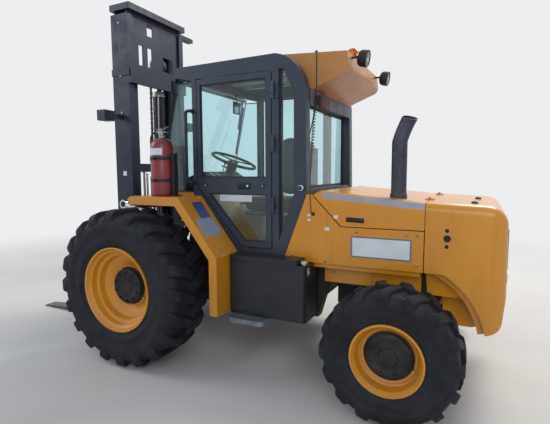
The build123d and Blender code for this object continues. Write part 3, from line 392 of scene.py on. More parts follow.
def pipe(name, points, radius, finish, body="chassis", slot=None):
    """A round bar or hose on a smooth curve, its points in metres from the front axle."""
    curve = bpy.data.curves.new(name, "CURVE")
    curve.dimensions = "3D"
    curve.bevel_depth = radius
    curve.bevel_resolution = 3
    curve.resolution_u = 6
    curve.use_fill_caps = True
    spline = curve.splines.new("NURBS")
    spline.points.add(len(points) - 1)
    for point, (x, y, z) in zip(spline.points, points):
        point.co = (x + AXLE_X, y, z, 1)
    spline.order_u = 3
    spline.use_endpoint_u = True
    return place(bpy.data.objects.new(name, curve), finish, body, slot)


# Cords: the work lamps' curly lead and the extinguisher's hose
LEAD_Y = 0.4638
COIL_TOP = Vector((-1.3681, LEAD_Y, 2.086))
COIL_END = Vector((-1.374, 0.588, 1.480))
LEAD_TOP = [(-1.366, LEAD_Y, 2.3378), (-1.3671, LEAD_Y, 2.296), (-1.3679, LEAD_Y, 2.254),
            (-1.3684, LEAD_Y, 2.212), (-1.3686, LEAD_Y, 2.170), (-1.3685, LEAD_Y, 2.128)]
LEAD_TAIL = [(-1.376, 0.5975, 1.440), (-1.379, 0.6075, 1.400), (-1.383, 0.6175, 1.361),
             (-1.3875, 0.627, 1.323), (-1.392, 0.635, 1.290), (-1.396, 0.640, 1.262),
             (-1.3985, 0.6418, 1.240), (-1.3996, 0.641, 1.2215), (-1.400, 0.6341, 1.2075),
             (-1.400, 0.622, 1.200), (-1.400, 0.608, 1.200)]
COIL_TURNS = 28
TURN_POINTS = 14
SWELL_RATE = 14
COIL_R = 0.0091
LEAD_R = 0.0035
HOSE_R = 0.008


def make_cords():
    along = (COIL_END - COIL_TOP).normalized()
    across = along.orthogonal().normalized()
    other = along.cross(across)
    turns = []
    steps = COIL_TURNS * TURN_POINTS
    # The point next to each end of the coil is left out, and three are put between it and the
    # straight run, so that the cord has no sharp bend there
    for i in [0] + list(range(2, steps - 1)) + [steps]:
        share = i / steps
        angle = 2 * math.pi * COIL_TURNS * share
        swell = COIL_R * min(1, SWELL_RATE * share, SWELL_RATE * (1 - share))
        centre = COIL_TOP.lerp(COIL_END, share)
        turns.append(centre + swell * (across * math.cos(angle) + other * math.sin(angle)))
    before = [Vector(LEAD_TOP[-1]).lerp(COIL_TOP, share) for share in (0.40, 0.67, 0.86)]
    after = [COIL_END.lerp(Vector(LEAD_TAIL[0]), share) for share in (0.14, 0.33, 0.60)]
    route = LEAD_TOP + [tuple(p) for p in before + turns + after] + LEAD_TAIL
    lead = pipe("lamp_lead_curly", route, LEAD_R, cable)
    lead.data.resolution_u = 2
    lead.data.bevel_resolution = 2
    lead.data.bevel_depth = 1.0
    for point in lead.data.splines[0].points:
        point.radius = LEAD_R
    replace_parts(lead, "lamp_lead", "lamp_lead_coil")
    x, y = EXTINGUISHER_X, EXTINGUISHER_Y
    route = [(x + 0.045, y, 1.808), (x + 0.074, y, 1.808), (x + 0.099, y, 1.7935),
             (x + 0.1135, y, 1.7685), (x + 0.1145, y, 1.738), (x + 0.113, y, 1.700),
             (x + 0.1105, y, 1.662), (x + 0.1084, y, 1.626), (x + 0.108, y, 1.590)]
    hose = pipe("extinguisher_hose_smooth", route, HOSE_R, cable)
    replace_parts(hose, "extinguisher_hose")
    nozzle = Shape()
    nozzle.lathe([(0, 0.014), (0.0105, 0.014), (0.0105, -0.02), (0.008, -0.03), (0.0125, -0.085),
                  (0.0105, -0.085), (0.006, -0.04), (0, -0.04)], (x + 0.108, y, 1.592), (0, 0, 1),
                 20)
    nozzle = nozzle.make("extinguisher_nozzle", plastic)


# Tyres: a rounded bag with bent lugs running over its shoulders
def make_tyre(name, x, side, z, outer, width, rim, lug, count, lug_w, lead, track, body):
    half = width / 2
    middle = side * track / 2
    crown = outer - lug
    line = [(rim - 0.0145, 0.858), (rim + 0.0005, 0.858), (rim + 0.008, 0.885),
            (rim + 0.026, 0.915), (rim + 0.05, 0.945), (rim + 0.056, 0.958), (rim + 0.066, 0.960),
            (rim + 0.072, 0.956), (0.755 * outer, 0.985), (0.765 * outer, 0.996),
            (0.795 * outer, 1.0), (0.835 * outer, 0.997), (0.865 * outer, 0.975),
            (0.895 * outer, 0.925), (crown - 0.012, 0.86), (crown - 0.003, 0.78), (crown, 0.66),
            (crown + 0.001, 0.33), (crown + 0.001, 0)]
    profile = [(r, s * half) for r, s in line]
    profile += [(r, -y) for r, y in profile[-2::-1]]
    shape = Shape()
    shape.lathe(profile, (x, middle, z), (0, side, 0), 120)
    path = [(crown, -0.04), (crown, 0.12), (crown, 0.28), (crown, 0.44), (crown, 0.58),
            (crown, 0.70), (crown - 0.003, 0.79), (crown - 0.010, 0.86), (0.905 * outer, 0.91),
            (0.880 * outer, 0.955), (0.855 * outer, 0.982)]
    rise = [1, 1, 1, 1, 1, 0.985, 0.93, 0.80, 0.62, 0.42, 0.16]
    normal = [(1, 0)] * 5 + [(1, 0), (0.985, 0.17), (0.9, 0.43), (0.74, 0.67), (0.5, 0.86),
                             (0.3, 0.95)]
    for row, stagger in ((1, 0), (-1, 180 / count)):
        for i in range(count):
            turn0 = math.radians(-90 + stagger + 360 * i / count)
            sections = []
            for k, ((r, s), h, (nr, ny)) in enumerate(zip(path, rise, normal)):
                share = k / (len(path) - 1)
                shift = lead * (1.0 - 1.75 * (1 - (1 - share) ** 1.7))
                wide = lug_w * (0.86 + 0.24 * share)
                tall = lug * h
                ring = []
                for w, up in ((-0.60, -0.12), (-0.52, 0.78), (-0.42, 1.0), (0.42, 1.0),
                              (0.52, 0.78), (0.60, -0.12)):
                    radius = min(r + nr * tall * up, outer)
                    across = min(s * half + ny * tall * up, half)
                    swing = turn0 + (shift + w * wide) / outer
                    ring.append(shape.bm.verts.new((x + radius * math.cos(swing),
                                                    middle + side * row * across,
                                                    z + radius * math.sin(swing))))
                sections.append(ring)
            for one, two in zip(sections, sections[1:]):
                for k in range(5):
                    shape.bm.faces.new((one[k], one[k + 1], two[k + 1], two[k]))
            shape.bm.faces.new(sections[0])
            shape.bm.faces.new(sections[-1][::-1])
    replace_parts(shape.make(name + "_lugged", rubber, body, sharp=32), name)


NUT_RING = 0.110


def make_wheels():
    for side, hand in ((1, "left"), (-1, "right")):
        make_tyre(f"front_tyre_{hand}", 0, side, 0.61, 0.61, 0.395, 0.325, 0.038, 20, 0.084,
                  0.052, 1.845, f"front_wheel_{hand}")
        make_tyre(f"rear_tyre_{hand}", REAR_AXLE, side, 0.415, 0.415, 0.305, 0.215, 0.026, 16,
                  0.066, 0.040, 1.735, f"rear_wheel_{hand}")
        for end, x, z, track, face, root, nuts, valve_r, valve_y in (
                ("front", 0, 0.61, 1.845, 0.0637, 0.022, 10, 0.185, 0.040),
                ("rear", REAR_AXLE, 0.415, 1.735, 0.072, 0.048, 8, 0.152, 0.05)):
            body = f"{end}_wheel_{hand}"
            y = side * track / 2
            cap = Shape()
            cap.lathe([(0, face + 0.012), (0.052, face + 0.012), (0.058, face + 0.004),
                       (0.092, face + 0.003), (0.098, face + 0.006), (0.124, face + 0.006),
                       (0.1375, face - 0.004), (0.1375, root + 0.006), (0.150, root + 0.0015),
                       (0.1495, root + 0.0004)], (x, y, z), (0, side, 0), 56)
            for k in range(nuts):
                a = 2 * math.pi * (k + 0.5) / nuts
                nut_x, nut_z = x + NUT_RING * math.cos(a), z + NUT_RING * math.sin(a)
                cap.rod((nut_x, y + side * (face + 0.005), nut_z),
                        (nut_x, y + side * (face + 0.017), nut_z), 0.009, count=6)
            cap.make(f"{end}_hub_cap_{hand}", black, body)
            valve = Shape()
            a = math.radians(200)
            at = Vector((x + valve_r * math.cos(a), y, z + valve_r * math.sin(a)))
            valve.rod(at + Vector((0, side * valve_y, 0)),
                      at + Vector((0, side * (valve_y + 0.035), 0)), 0.006, 0.005, 12)
            valve.make(f"{end}_valve_{hand}", bright, body)


# Small helpers for thin work on a face
def inset(points, depth):
    """A polygon moved inward by depth, with mitred corners."""
    turn = sum(a[0] * b[1] - b[0] * a[1] for a, b in zip(points, points[1:] + points[:1]))
    hand = 1 if turn > 0 else -1
    moved = []
    for before, here, after in zip(points[-1:] + points[:-1], points, points[1:] + points[:1]):
        one = Vector((here[0] - before[0], here[1] - before[1])).normalized()
        two = Vector((after[0] - here[0], after[1] - here[1])).normalized()
        n1, n2 = Vector((-one.y, one.x)) * hand, Vector((-two.y, two.x)) * hand
        both = n1 + n2
        moved.append(tuple(Vector(here) + both * (2 * depth / both.length_squared)))
    return moved


def ring_of(shape, points, width, y0, y1):
    """A flat frame round an (x, z) outline, between two y."""
    inner = inset(points, width)
    count = len(points)
    for k in range(count):
        m = (k + 1) % count
        quad = [points[k], points[m], inner[m], inner[k]]
        shape.plate([(x, y0, z) for x, z in quad], (0, y1 - y0, 0))


def film(shape, rows, thick):
    """A thin closed sheet: rows of outer points, each with its own way out."""
    outer = [[shape.bm.verts.new(Vector(p)) for p, _ in row] for row in rows]
    inner = [[shape.bm.verts.new(Vector(p) - Vector(n).normalized() * thick) for p, n in row]
             for row in rows]
    high, wide = len(rows), len(rows[0])
    for grid in (outer, inner):
        for i in range(high - 1):
            for j in range(wide - 1):
                shape.bm.faces.new((grid[i][j], grid[i][j + 1], grid[i + 1][j + 1],
                                    grid[i + 1][j]))
    border = ([(0, j) for j in range(wide)] + [(i, wide - 1) for i in range(1, high)]
              + [(high - 1, j) for j in range(wide - 2, -1, -1)]
              + [(i, 0) for i in range(high - 2, 0, -1)])
    for (a, b), (c, d) in zip(border, border[1:] + border[:1]):
        shape.bm.faces.new((outer[a][b], outer[c][d], inner[c][d], inner[a][b]))


def soft_pad(name, corners, bevel, swell):
    """A padded block: remeshed, swollen under pressure by a capped amount, and smoothed."""
    shape = Shape()
    shape.box(*corners, bevel=bevel)
    obj = shape.make(name, vinyl)
    remesh = obj.modifiers.new("remesh", "REMESH")
    remesh.mode = "VOXEL"
    remesh.voxel_size = 0.008
    graph = bpy.context.evaluated_depsgraph_get()
    obj.data = bpy.data.meshes.new_from_object(obj.evaluated_get(graph))
    obj.modifiers.clear()
    start = [v.co.copy() for v in obj.data.vertices]
    cloth = obj.modifiers.new("cloth", "CLOTH")
    cloth.settings.use_pressure = True
    cloth.settings.uniform_pressure_force = 4
    cloth.settings.effector_weights.gravity = 0
    for step in range(1, 21):
        scene.frame_set(step)
    graph = bpy.context.evaluated_depsgraph_get()
    blown = [v.co.copy() for v in obj.evaluated_get(graph).data.vertices]
    scene.frame_set(1)
    obj.modifiers.clear()
    for vert, old, new in zip(obj.data.vertices, start, blown):
        move = new - old
        if move.length > swell:
            move = move.normalized() * swell
        vert.co = old + move
    for face in obj.data.polygons:
        face.use_smooth = True
    obj.modifiers.new("smooth", "SUBSURF").levels = 1
    return obj


def make_seat():
    cushion = soft_pad("seat_cushion", ((-1.048, -0.612), (-0.233, 0.233), (1.172, 1.268)), 0.034,
                       0.010)
    back = soft_pad("seat_backrest", ((-1.103, -0.957), (-0.233, 0.233), (1.302, 1.778)), 0.055,
                    0.010)
    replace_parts(cushion, "seat_pads")
    for side, hand in ((1, "left"), (-1, "right")):
        wing = soft_pad(f"seat_bolster_{hand}",
                        ((-0.956, -0.935), (side * 0.16 - 0.03, side * 0.16 + 0.03),
                         (1.36, 1.66)), 0.009, 0.006)
    pipe("seat_piping_low", [(-0.63, -0.22, 1.262), (-0.63, 0.22, 1.262), (-1.03, 0.22, 1.262),
                             (-1.03, -0.22, 1.262), (-0.63, -0.22, 1.262)], 0.0035, plastic,
         "chassis", "seat_black")
    frame_work = Shape()
    for side in (1, -1):
        frame_work.box((-1.10, -0.64), (side * 0.232, side * 0.246), (1.136, 1.166), 0.004)
        frame_work.rod((-1.09, side * 0.238, 1.165), (-1.118, side * 0.238, 1.34), 0.009)
    frame_work.box((-0.70, -0.60), (-0.06, 0.06), (1.120, 1.134), 0.004)
    frame_work.rod((-0.62, 0, 1.127), (-0.575, 0, 1.127), 0.007)
    frame_work.make("seat_slides", dull_steel)


# Steering wheel, console top and pedals
WHEEL_TILT = math.radians(22)
WHEEL_AXIS = Vector((-math.sin(WHEEL_TILT), 0, math.cos(WHEEL_TILT)))
WHEEL_AT = Vector((-0.385, 0, 1.600))


def make_controls():
    wheel = Shape()
    grip = [(0.205 + 0.0125 * math.cos(a), 0.0125 * math.sin(a))
            for a in (2 * math.pi * k / 14 for k in range(15))]
    wheel.lathe(grip, WHEEL_AT, WHEEL_AXIS, 72)
    wheel.lathe([(0, -0.028), (0.040, -0.028), (0.042, -0.010), (0.038, 0.000), (0.020, 0.006),
                 (0, 0.007)], WHEEL_AT, WHEEL_AXIS, 36)
    across, fore = Vector((0, 1, 0)), Vector((math.cos(WHEEL_TILT), 0, math.sin(WHEEL_TILT)))
    for k in range(3):
        a = 2 * math.pi * k / 3
        out = fore * math.cos(a) + across * math.sin(a)
        wide = WHEEL_AXIS.cross(out)
        tip, hub, low = WHEEL_AT + out * 0.199, WHEEL_AT + out * 0.034, WHEEL_AXIS * -0.005
        wheel.plate([hub + wide * 0.017 + low, tip + wide * 0.010 + low, tip - wide * 0.010 + low,
                     hub - wide * 0.017 + low], WHEEL_AXIS * 0.008, 0.002)
    wheel = wheel.make("steering_wheel_smooth", plastic, "steering_wheel")
    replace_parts(wheel, "steering_wheel")

    # Instrument panel on the console's slope towards the driver
    down = Vector((-0.16, 0, -0.10)).normalized()
    out = Vector((-0.10, 0, 0.16)).normalized()
    left = Vector((0, 1, 0))
    top = Vector((-0.235, 0, 1.4975))

    def on_slope(y, s, lift=0.0):
        return top + down * s + left * y + out * lift

    panel = Shape()
    for y0, y1 in ((-0.27, -0.07), (0.07, 0.27)):
        panel.plate([on_slope(y0, 0.015), on_slope(y1, 0.015), on_slope(y1, 0.165),
                     on_slope(y0, 0.165)], out * 0.006, 0.002)
    for y in (-0.215, -0.125):
        for s in (0.055, 0.125):
            panel.rod(on_slope(y, s, 0.004), on_slope(y, s, 0.011), 0.012, count=20)
    panel.make("console_panels", plastic)
    dials = Shape()
    for y in (0.125, 0.215):
        dials.lathe([(0.031, 0.005), (0.034, 0.012), (0.031, 0.015), (0.028, 0.012),
                     (0.028, 0.006)], on_slope(y, 0.06), out, 32)
    dials.make("console_dial_rims", bright)
    faces = Shape()
    for y in (0.125, 0.215):
        faces.rod(on_slope(y, 0.06, 0.006), on_slope(y, 0.06, 0.009), 0.0285, count=32)
        for k in range(9):
            a = math.radians(-130 + 32.5 * k)
            tick = down * -math.cos(a) + left * math.sin(a)
            p = on_slope(y, 0.06, 0.009) + tick * 0.021
            faces.rod(p, p + out * 0.0008, 0.0016, count=6)
    faces.make("console_dial_faces", white_film)
    keys = Shape()
    over, half = left * 0.016, down * 0.014
    for k in range(4):
        p = on_slope(0.095 + 0.05 * k, 0.132)
        keys.plate([p - over - half, p + over - half, p + over + half, p - over + half],
                   out * 0.013, 0.003)
    keys.make("console_rockers", tank_skin, "chassis", "black_plastic")
    levers, knobs, boots = Shape(), Shape(), Shape()
    for k in range(3):
        y = -0.15 - 0.05 * k
        foot = Vector((-0.150, y, 1.468))
        tip = foot + Vector((-0.045, 0, 0.125))
        levers.rod(foot, tip, 0.0045, count=10)
        boots.lathe([(0, 0.0), (0.021, 0.0), (0.019, 0.008), (0.014, 0.011), (0.015, 0.017),
                     (0.009, 0.021), (0.010, 0.027), (0.005, 0.031)], foot, tip - foot, 20)
        knobs.lathe([(0, 0.150), (0.010, 0.148), (0.0145, 0.138), (0.015, 0.128), (0.010, 0.112),
                     (0.006, 0.104), (0, 0.104)], foot, tip - foot, 20)
    levers.make("lever_rods", dull_steel)
    boots.make("lever_boots", cable)
    knobs.make("lever_knobs", plastic)
    stalk = Shape()
    stem = WHEEL_AT - WHEEL_AXIS * 0.075
    stalk.rod(stem + left * 0.03, stem + left * 0.165 + WHEEL_AXIS * 0.02, 0.0055, 0.007, 12)
    stalk.lathe([(0.039, -0.02), (0.045, -0.016), (0.045, 0.026), (0.039, 0.030), (0.037, 0.030),
                 (0.037, -0.02)], stem, WHEEL_AXIS, 32)
    for s in (-0.205, -0.19, -0.175, -0.16, -0.145):
        stalk.lathe([(0.037, s - 0.006), (0.046, s), (0.037, s + 0.006)], WHEEL_AT, WHEEL_AXIS, 32)
    stalk.make("column_stalk", plastic)
    pedals = Shape()
    slope = Vector((-0.388, 0, -0.445)).normalized()
    rise = Vector((-0.445, 0, 0.388)).normalized()
    for y, wide, long in ((0.10, 0.045, 0.075), (-0.10, 0.030, 0.105)):
        at = Vector((-0.54, y, 1.19)) + rise * 0.055
        over, half = left * wide, slope * long / 2
        pedals.plate([at + over - half, at + over + half, at - over + half, at - over - half],
                     rise * 0.010, 0.003)
        over, half = left * wide * 0.8, slope * 0.004
        for k in range(4):
            p = at + slope * (long * (0.2 * k - 0.3)) + rise * 0.010
            pedals.plate([p + over - half, p + over + half, p - over + half, p - over - half],
                         rise * 0.0025)
        pedals.rod(at, at - rise * 0.056 - slope * 0.03, 0.008, count=12)
    pedals.make("pedals", plastic)


# Door: latch, plate, window seals
DOOR_OUTLINE = [(-0.434, 2.175), (-1.020, 2.175), (-1.020, 1.450), (-0.434, 1.450)]
DOOR_LOW = [(-1.020, 1.330), (-1.020, 0.965), (-0.827, 0.965), (-0.504, 1.330)]


def make_door():
    seals = Shape()
    for outline in (DOOR_OUTLINE, DOOR_LOW):
        ring_of(seals, outline, 0.011, GLASS_FACE, GLASS_FACE + 0.004)
    seals.make("door_window_seals", cable, "door")
    latch = Shape()
    latch.panel((-0.775, -0.885), DOOR_FACE, (1.365, 1.415), 0.006, 0.003)
    latch.panel((-0.785, -0.850), DOOR_FACE + 0.006, (1.374, 1.404), 0.012, 0.005)
    for x in (-0.475, -0.99):
        latch.box((x - 0.02, x + 0.02), (DOOR_FACE, DOOR_FACE + 0.004), (1.38, 1.40), 0.0015)
    latch.make("door_latch", plastic, "door")
    lock = Shape()
    lock.lathe([(0, 0.012), (0.008, 0.012), (0.0105, 0.009), (0.0105, 0.0)],
               (-0.866, DOOR_FACE + 0.0055, 1.389), (0, 1, 0), 24)
    lock.bolts([(x, DOOR_FACE + 0.004, 1.39) for x in (-0.475, -0.99)], (0, 1, 0), 0.006, 0.003)
    lock.make("door_lock", bright, "door")
    sheet = Shape()
    sheet.panel((-0.60, -0.89), GLASS_FACE, (1.268, 1.323), 0.0012)
    sheet.make("door_blank_plate", white_film, "door")
    pull = Shape()
    pull.box((-0.62, -0.50), (0.525, 0.5445), (1.37, 1.40), 0.006)
    pull.make("door_inner_pull", plastic, "door")


# Cab: wipers, mirror, handles, catch, motor cover, seals
SCREEN_OUT = Vector((0.977, 0, 0.213))


def on_screen(y, z, out=0.0):
    """A point out from the windscreen's sloping face."""
    return Vector((-0.198 + (2.276 - z) * 0.218, y, z)) + SCREEN_OUT * out


def make_cab_trim():
    for side, hand in ((1, "left"), (-1, "right")):
        y = side * 0.615
        pipe(f"grab_handle_{hand}", [
            (-0.366, side * 0.581, 1.412), (-0.366, side * 0.600, 1.412), (-0.356, y, 1.412),
            (-0.322, y, 1.414), (-0.320, y, 1.450), (-0.320, y, 1.60), (-0.320, y, 1.80),
            (-0.320, y, 1.94), (-0.322, y, 1.976), (-0.356, y, 1.978),
            (-0.366, side * 0.600, 1.978), (-0.366, side * 0.581, 1.978)], 0.013, plastic)
        feet = Shape()
        for z in (1.412, 1.978):
            feet.lathe([(0, 0.006), (0.013, 0.006), (0.020, 0.004), (0.022, 0.0)],
                       (-0.366, side * 0.580, z), (0, side, 0), 24)
        feet.make(f"grab_handle_feet_{hand}", plastic)
    mirror = Shape()
    mirror.box((-0.272, -0.256), (-0.335, -0.195), (2.060, 2.180), 0.007)
    mirror.rod((-0.262, -0.265, 2.175), (-0.262, -0.265, 2.244), 0.006, count=14)
    mirror.lathe([(0, 0.0), (0.018, 0.0), (0.016, 0.006), (0.008, 0.010), (0, 0.010)],
                 (-0.262, -0.265, 2.2447), (0, 0, -1), 20)
    mirror = mirror.make("cab_mirror", plastic)
    glass = Shape()
    glass.box((-0.2745, -0.2718), (-0.325, -0.205), (2.070, 2.170), 0.001)
    glass.make("cab_mirror_face", bright)
    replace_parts(mirror, "cab_fittings")

    # Rear wiper and its motor cover on the head beam
    cover = Shape()
    cover.box((-1.374, -1.3363), (0.165, 0.345), (1.966, 2.062), 0.008)
    cover.make("wiper_motor_cover", maroon)
    wiper = Shape()
    wiper.rod((-1.336, 0.375, 2.035), (-1.352, 0.375, 2.035), 0.014, count=20)
    wiper.rod((-1.346, 0.375, 2.035), (-1.300, 0.408, 1.785), 0.0055, 0.004, 10)
    wiper.rod((-1.300, 0.408, 1.785), (-1.286, 0.410, 1.745), 0.0045, 0.004, 10)
    wiper.rod((-1.284, 0.396, 1.895), (-1.284, 0.424, 1.630), 0.004, count=8)
    wiper.rod((-1.2745, 0.396, 1.900), (-1.2745, 0.424, 1.625), 0.0026, count=8)
    wiper.make("rear_wiper", plastic)

    # Front wiper, a double arm hung over the windscreen
    front = Shape()
    front.rod(on_screen(-0.543, 2.232, 0.002), on_screen(-0.543, 2.232, 0.030), 0.013, count=20)
    for y in (-0.543, -0.523):
        front.rod(on_screen(y, 2.232, 0.024), on_screen(y - 0.013, 1.950, 0.022), 0.0085, 0.0065,
                  12)
    front.rod(on_screen(-0.543, 2.232, 0.024), on_screen(-0.523, 2.232, 0.024), 0.0085, count=12)
    front.rod(on_screen(-0.556, 1.950, 0.022), on_screen(-0.536, 1.950, 0.022), 0.0065, count=12)
    front.rod(on_screen(-0.552, 2.170, 0.014), on_screen(-0.560, 1.690, 0.014), 0.007, count=12)
    front.rod(on_screen(-0.552, 2.170, 0.006), on_screen(-0.560, 1.690, 0.006), 0.0045, count=8)
    front.rod(on_screen(-0.546, 1.950, 0.022), on_screen(-0.556, 1.930, 0.012), 0.006, count=8)
    front.make("front_wiper", plastic)
    edge = Shape()
    for y0, y1, z0, z1 in ((-0.572, 0.572, 1.3305, 1.352), (-0.572, 0.572, 2.215, 2.2440),
                           (0.572, 0.560, 1.352, 2.215), (-0.572, -0.560, 1.352, 2.215)):
        edge.plate([on_screen(y, z, 0.0004) for y, z in ((y0, z0), (y1, z0), (y1, z1), (y0, z1))],
                   SCREEN_OUT * 0.003)
    edge.make("windscreen_seal", cable)
    rear = Shape()
    for y0, y1, z0, z1 in ((-0.499, 0.499, 1.3725, 1.390), (-0.499, 0.499, 1.967, 1.9845),
                           (-0.499, -0.485, 1.390, 1.967), (0.485, 0.499, 1.390, 1.967)):
        rear.box((-1.2742, -1.2704), (y0, y1), (z0, z1))
    rear.make("rear_window_seal", cable)
    sides = Shape()
    rear_quarter = [(-1.126, 2.224), (-1.165, 2.224), (-1.244, 2.069), (-1.244, 1.331),
                    (-1.126, 0.988)]
    front_quarter = [(-0.359, 2.212), (-0.196, 2.212), (-0.003, 1.332), (-0.359, 1.332)]
    for face, out in ((0.5564, 0.003), (-0.5484, -0.003)):
        for outline in (rear_quarter, front_quarter):
            ring_of(sides, outline, 0.010, face, face + out)
    right = [(-0.399, 2.224), (-1.069, 2.224), (-1.069, 0.917), (-0.804, 0.917), (-0.399, 1.375)]
    ring_of(sides, right, 0.012, -0.5563, -0.5593)
    sides.make("quarter_window_seals", cable)

    catch = Shape()
    for side in (1, -1):
        catch.lathe([(0, 0.044), (0.012, 0.044), (0.019, 0.039), (0.021, 0.034), (0.021, 0.026),
                     (0.017, 0.022)], (-1.308, side * 0.580, 1.380), (0, side, 0), 28)
    catch.make("door_catch_pads", white_film)
    clip = Shape()
    clip.box((-1.376, -1.356), (0.4605, 0.470), (2.3378, 2.347), 0.002)
    clip.box((-1.374, -1.358), (0.440, 0.468), (2.343, 2.348), 0.002)
    clip.lathe([(0, 0.0077), (0.0075, 0.0077), (0.013, 0.004), (0.0145, 0.0)],
               (-1.400, 0.6003, 1.200), (0, 1, 0), 24)
    clip.make("lead_clip", cable)
    vents = Shape()
    for y in ROOF_SLOTS:
        for x in ((-1.000, -0.690), (-0.640, -0.340)):
            vents.box(x, (y - 0.020, y - 0.0162), (2.3335, 2.337))
            vents.box(x, (y + 0.0162, y + 0.020), (2.3335, 2.337))
    vents.make("roof_slot_edges", charcoal)
    strips = Shape()
    for y in ROOF_SLOTS:
        for x0, x1 in ((-0.9995, -0.6905), (-0.6395, -0.3405)):
            strips.box((x0, x1), (y - 0.0155, y + 0.0155), (2.3015, 2.3065), 0.001)
            strips.box((x0 - 0.008, x1 + 0.008), (y - 0.023, y + 0.023), (2.2995, 2.3025), 0.001)
    strips.make("roof_slot_strips", frosted)


# Lamps: work lamps under the cowl, tail lamps, mast lamps, beacon
def make_lamps():
    lamp_dir = Vector((-1, 0, -0.2)).normalized()
    shells, rims, lenses, mirrors = Shape(), Shape(), Shape(), Shape()
    for side in (1, -1):
        at = Vector((-1.655, side * 0.355, 2.286))
        shells.lathe([(0, -0.020), (0.026, -0.018), (0.045, -0.010), (0.055, 0.003),
                      (0.058, 0.018), (0.058, 0.040), (0.0565, 0.046)], at, lamp_dir, 48)
        for k in range(7):
            a = 2 * math.pi * k / 7
            out = Vector((0.0, math.cos(a), math.sin(a)))
            shells.rod(at + lamp_dir * 0.004 + out * 0.040, at + lamp_dir * 0.034 + out * 0.0565,
                       0.003, count=6)
        shells.box((-1.662, -1.5945), (side * 0.345, side * 0.365), (2.290, 2.302), 0.002)
        shells.rod(at + Vector((0, -0.016, 0.020)), at + Vector((0, 0.016, 0.020)), 0.009, count=12)
        rims.lathe([(0.0565, 0.042), (0.0585, 0.046), (0.0585, 0.0545), (0.053, 0.0555),
                    (0.0495, 0.051), (0.049, 0.046)], at, lamp_dir, 48)
        mirrors.lathe([(0.050, 0.0475), (0.040, 0.036), (0.028, 0.027), (0.012, 0.021), (0, 0.020)],
                      at, lamp_dir, 40)
        lenses.lathe([(0.0495, 0.0478), (0.0498, 0.0505), (0.036, 0.0530), (0.018, 0.0542),
                      (0, 0.0546), (0, 0.0500), (0.020, 0.0496), (0.036, 0.0486),
                      (0.0495, 0.0478)], at, lamp_dir, 40)
    shells.make("work_lamp_shells", plastic, "chassis", "lamp")
    rims.make("work_lamp_rims", plastic, "chassis", "lamp")
    mirrors.make("work_lamp_reflectors", bright)
    lenses.make("work_lamp_lenses", clear_lens)
    tails = Shape()
    for side in (1, -1):
        y0, y1 = sorted((side * 0.4103, side * 0.4697))
        tails.box((-2.6148, -2.5673), (y0, y1), (0.8123, 0.8677), 0.004)
        for k in range(5):
            z = 0.8205 + 0.0098 * k
            tails.box((-2.61495, -2.6135), (y0 + 0.005, y1 - 0.005), (z - 0.0016, z + 0.0016))
    tails = tails.make("tail_lamp_lenses", red_lens)
    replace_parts(tails, "lamps")
    heads, ribs, fronts = Shape(), Shape(), Shape()
    for side in (1, -1):
        y0, y1 = sorted((side * 0.5195, side * 0.6405))
        heads.box((0.6315, 0.640), (y0 - 0.002, y1 + 0.002), (1.958, 2.052), 0.003)
        for k in range(6):
            z = 1.970 + 0.014 * k
            ribs.box((0.5415, 0.5485), (y0 + 0.008, y1 - 0.008), (z - 0.002, z + 0.002), 0.0008)
        fronts.box((0.6395, 0.6425), (y0 + 0.006, y1 - 0.006), (1.966, 2.044), 0.001)
        ribs.bolts([(0.59, side * 0.5305, 2.030)], (0, 0, 1), 0.011, 0.008)
    heads.make("mast_lamp_rims", plastic, "mast_outer", "lamp")
    ribs.make("mast_lamp_ribs", plastic, "mast_outer", "lamp")
    fronts.make("mast_lamp_lenses", clear_lens, "mast_outer")

    foot = Shape()
    at = (-1.500, 0, 2.3323)
    foot.lathe([(0, 0.0), (0.060, 0.0), (0.060, 0.008), (0.056, 0.013), (0.051, 0.0197),
                (0, 0.0197)], at, (0, 0, 1), 48)
    foot.make("beacon_base", plastic)
    dome = Shape()
    dome.lathe([(0.0478, 0.0200), (0.0480, 0.060), (0.0470, 0.090), (0.043, 0.108),
                (0.034, 0.121), (0.018, 0.1285), (0, 0.1297), (0, 0.1265), (0.017, 0.1253),
                (0.032, 0.118), (0.040, 0.106), (0.0438, 0.090), (0.0448, 0.060),
                (0.0446, 0.0200)], at, (0, 0, 1), 48)
    dome = dome.make("beacon_dome", amber)
    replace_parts(dome, "beacon")
    bulb = Shape()
    bulb.lathe([(0.012, 0.0198), (0.012, 0.045), (0.009, 0.050), (0.009, 0.080), (0, 0.086)], at,
               (0, 0, 1), 20)
    bulb.plate([(-1.520, -0.026, 2.392), (-1.520, 0.026, 2.392), (-1.512, 0.030, 2.430),
                (-1.512, -0.030, 2.430)], (0.003, 0, 0))
    bulb.make("beacon_reflector", bright)


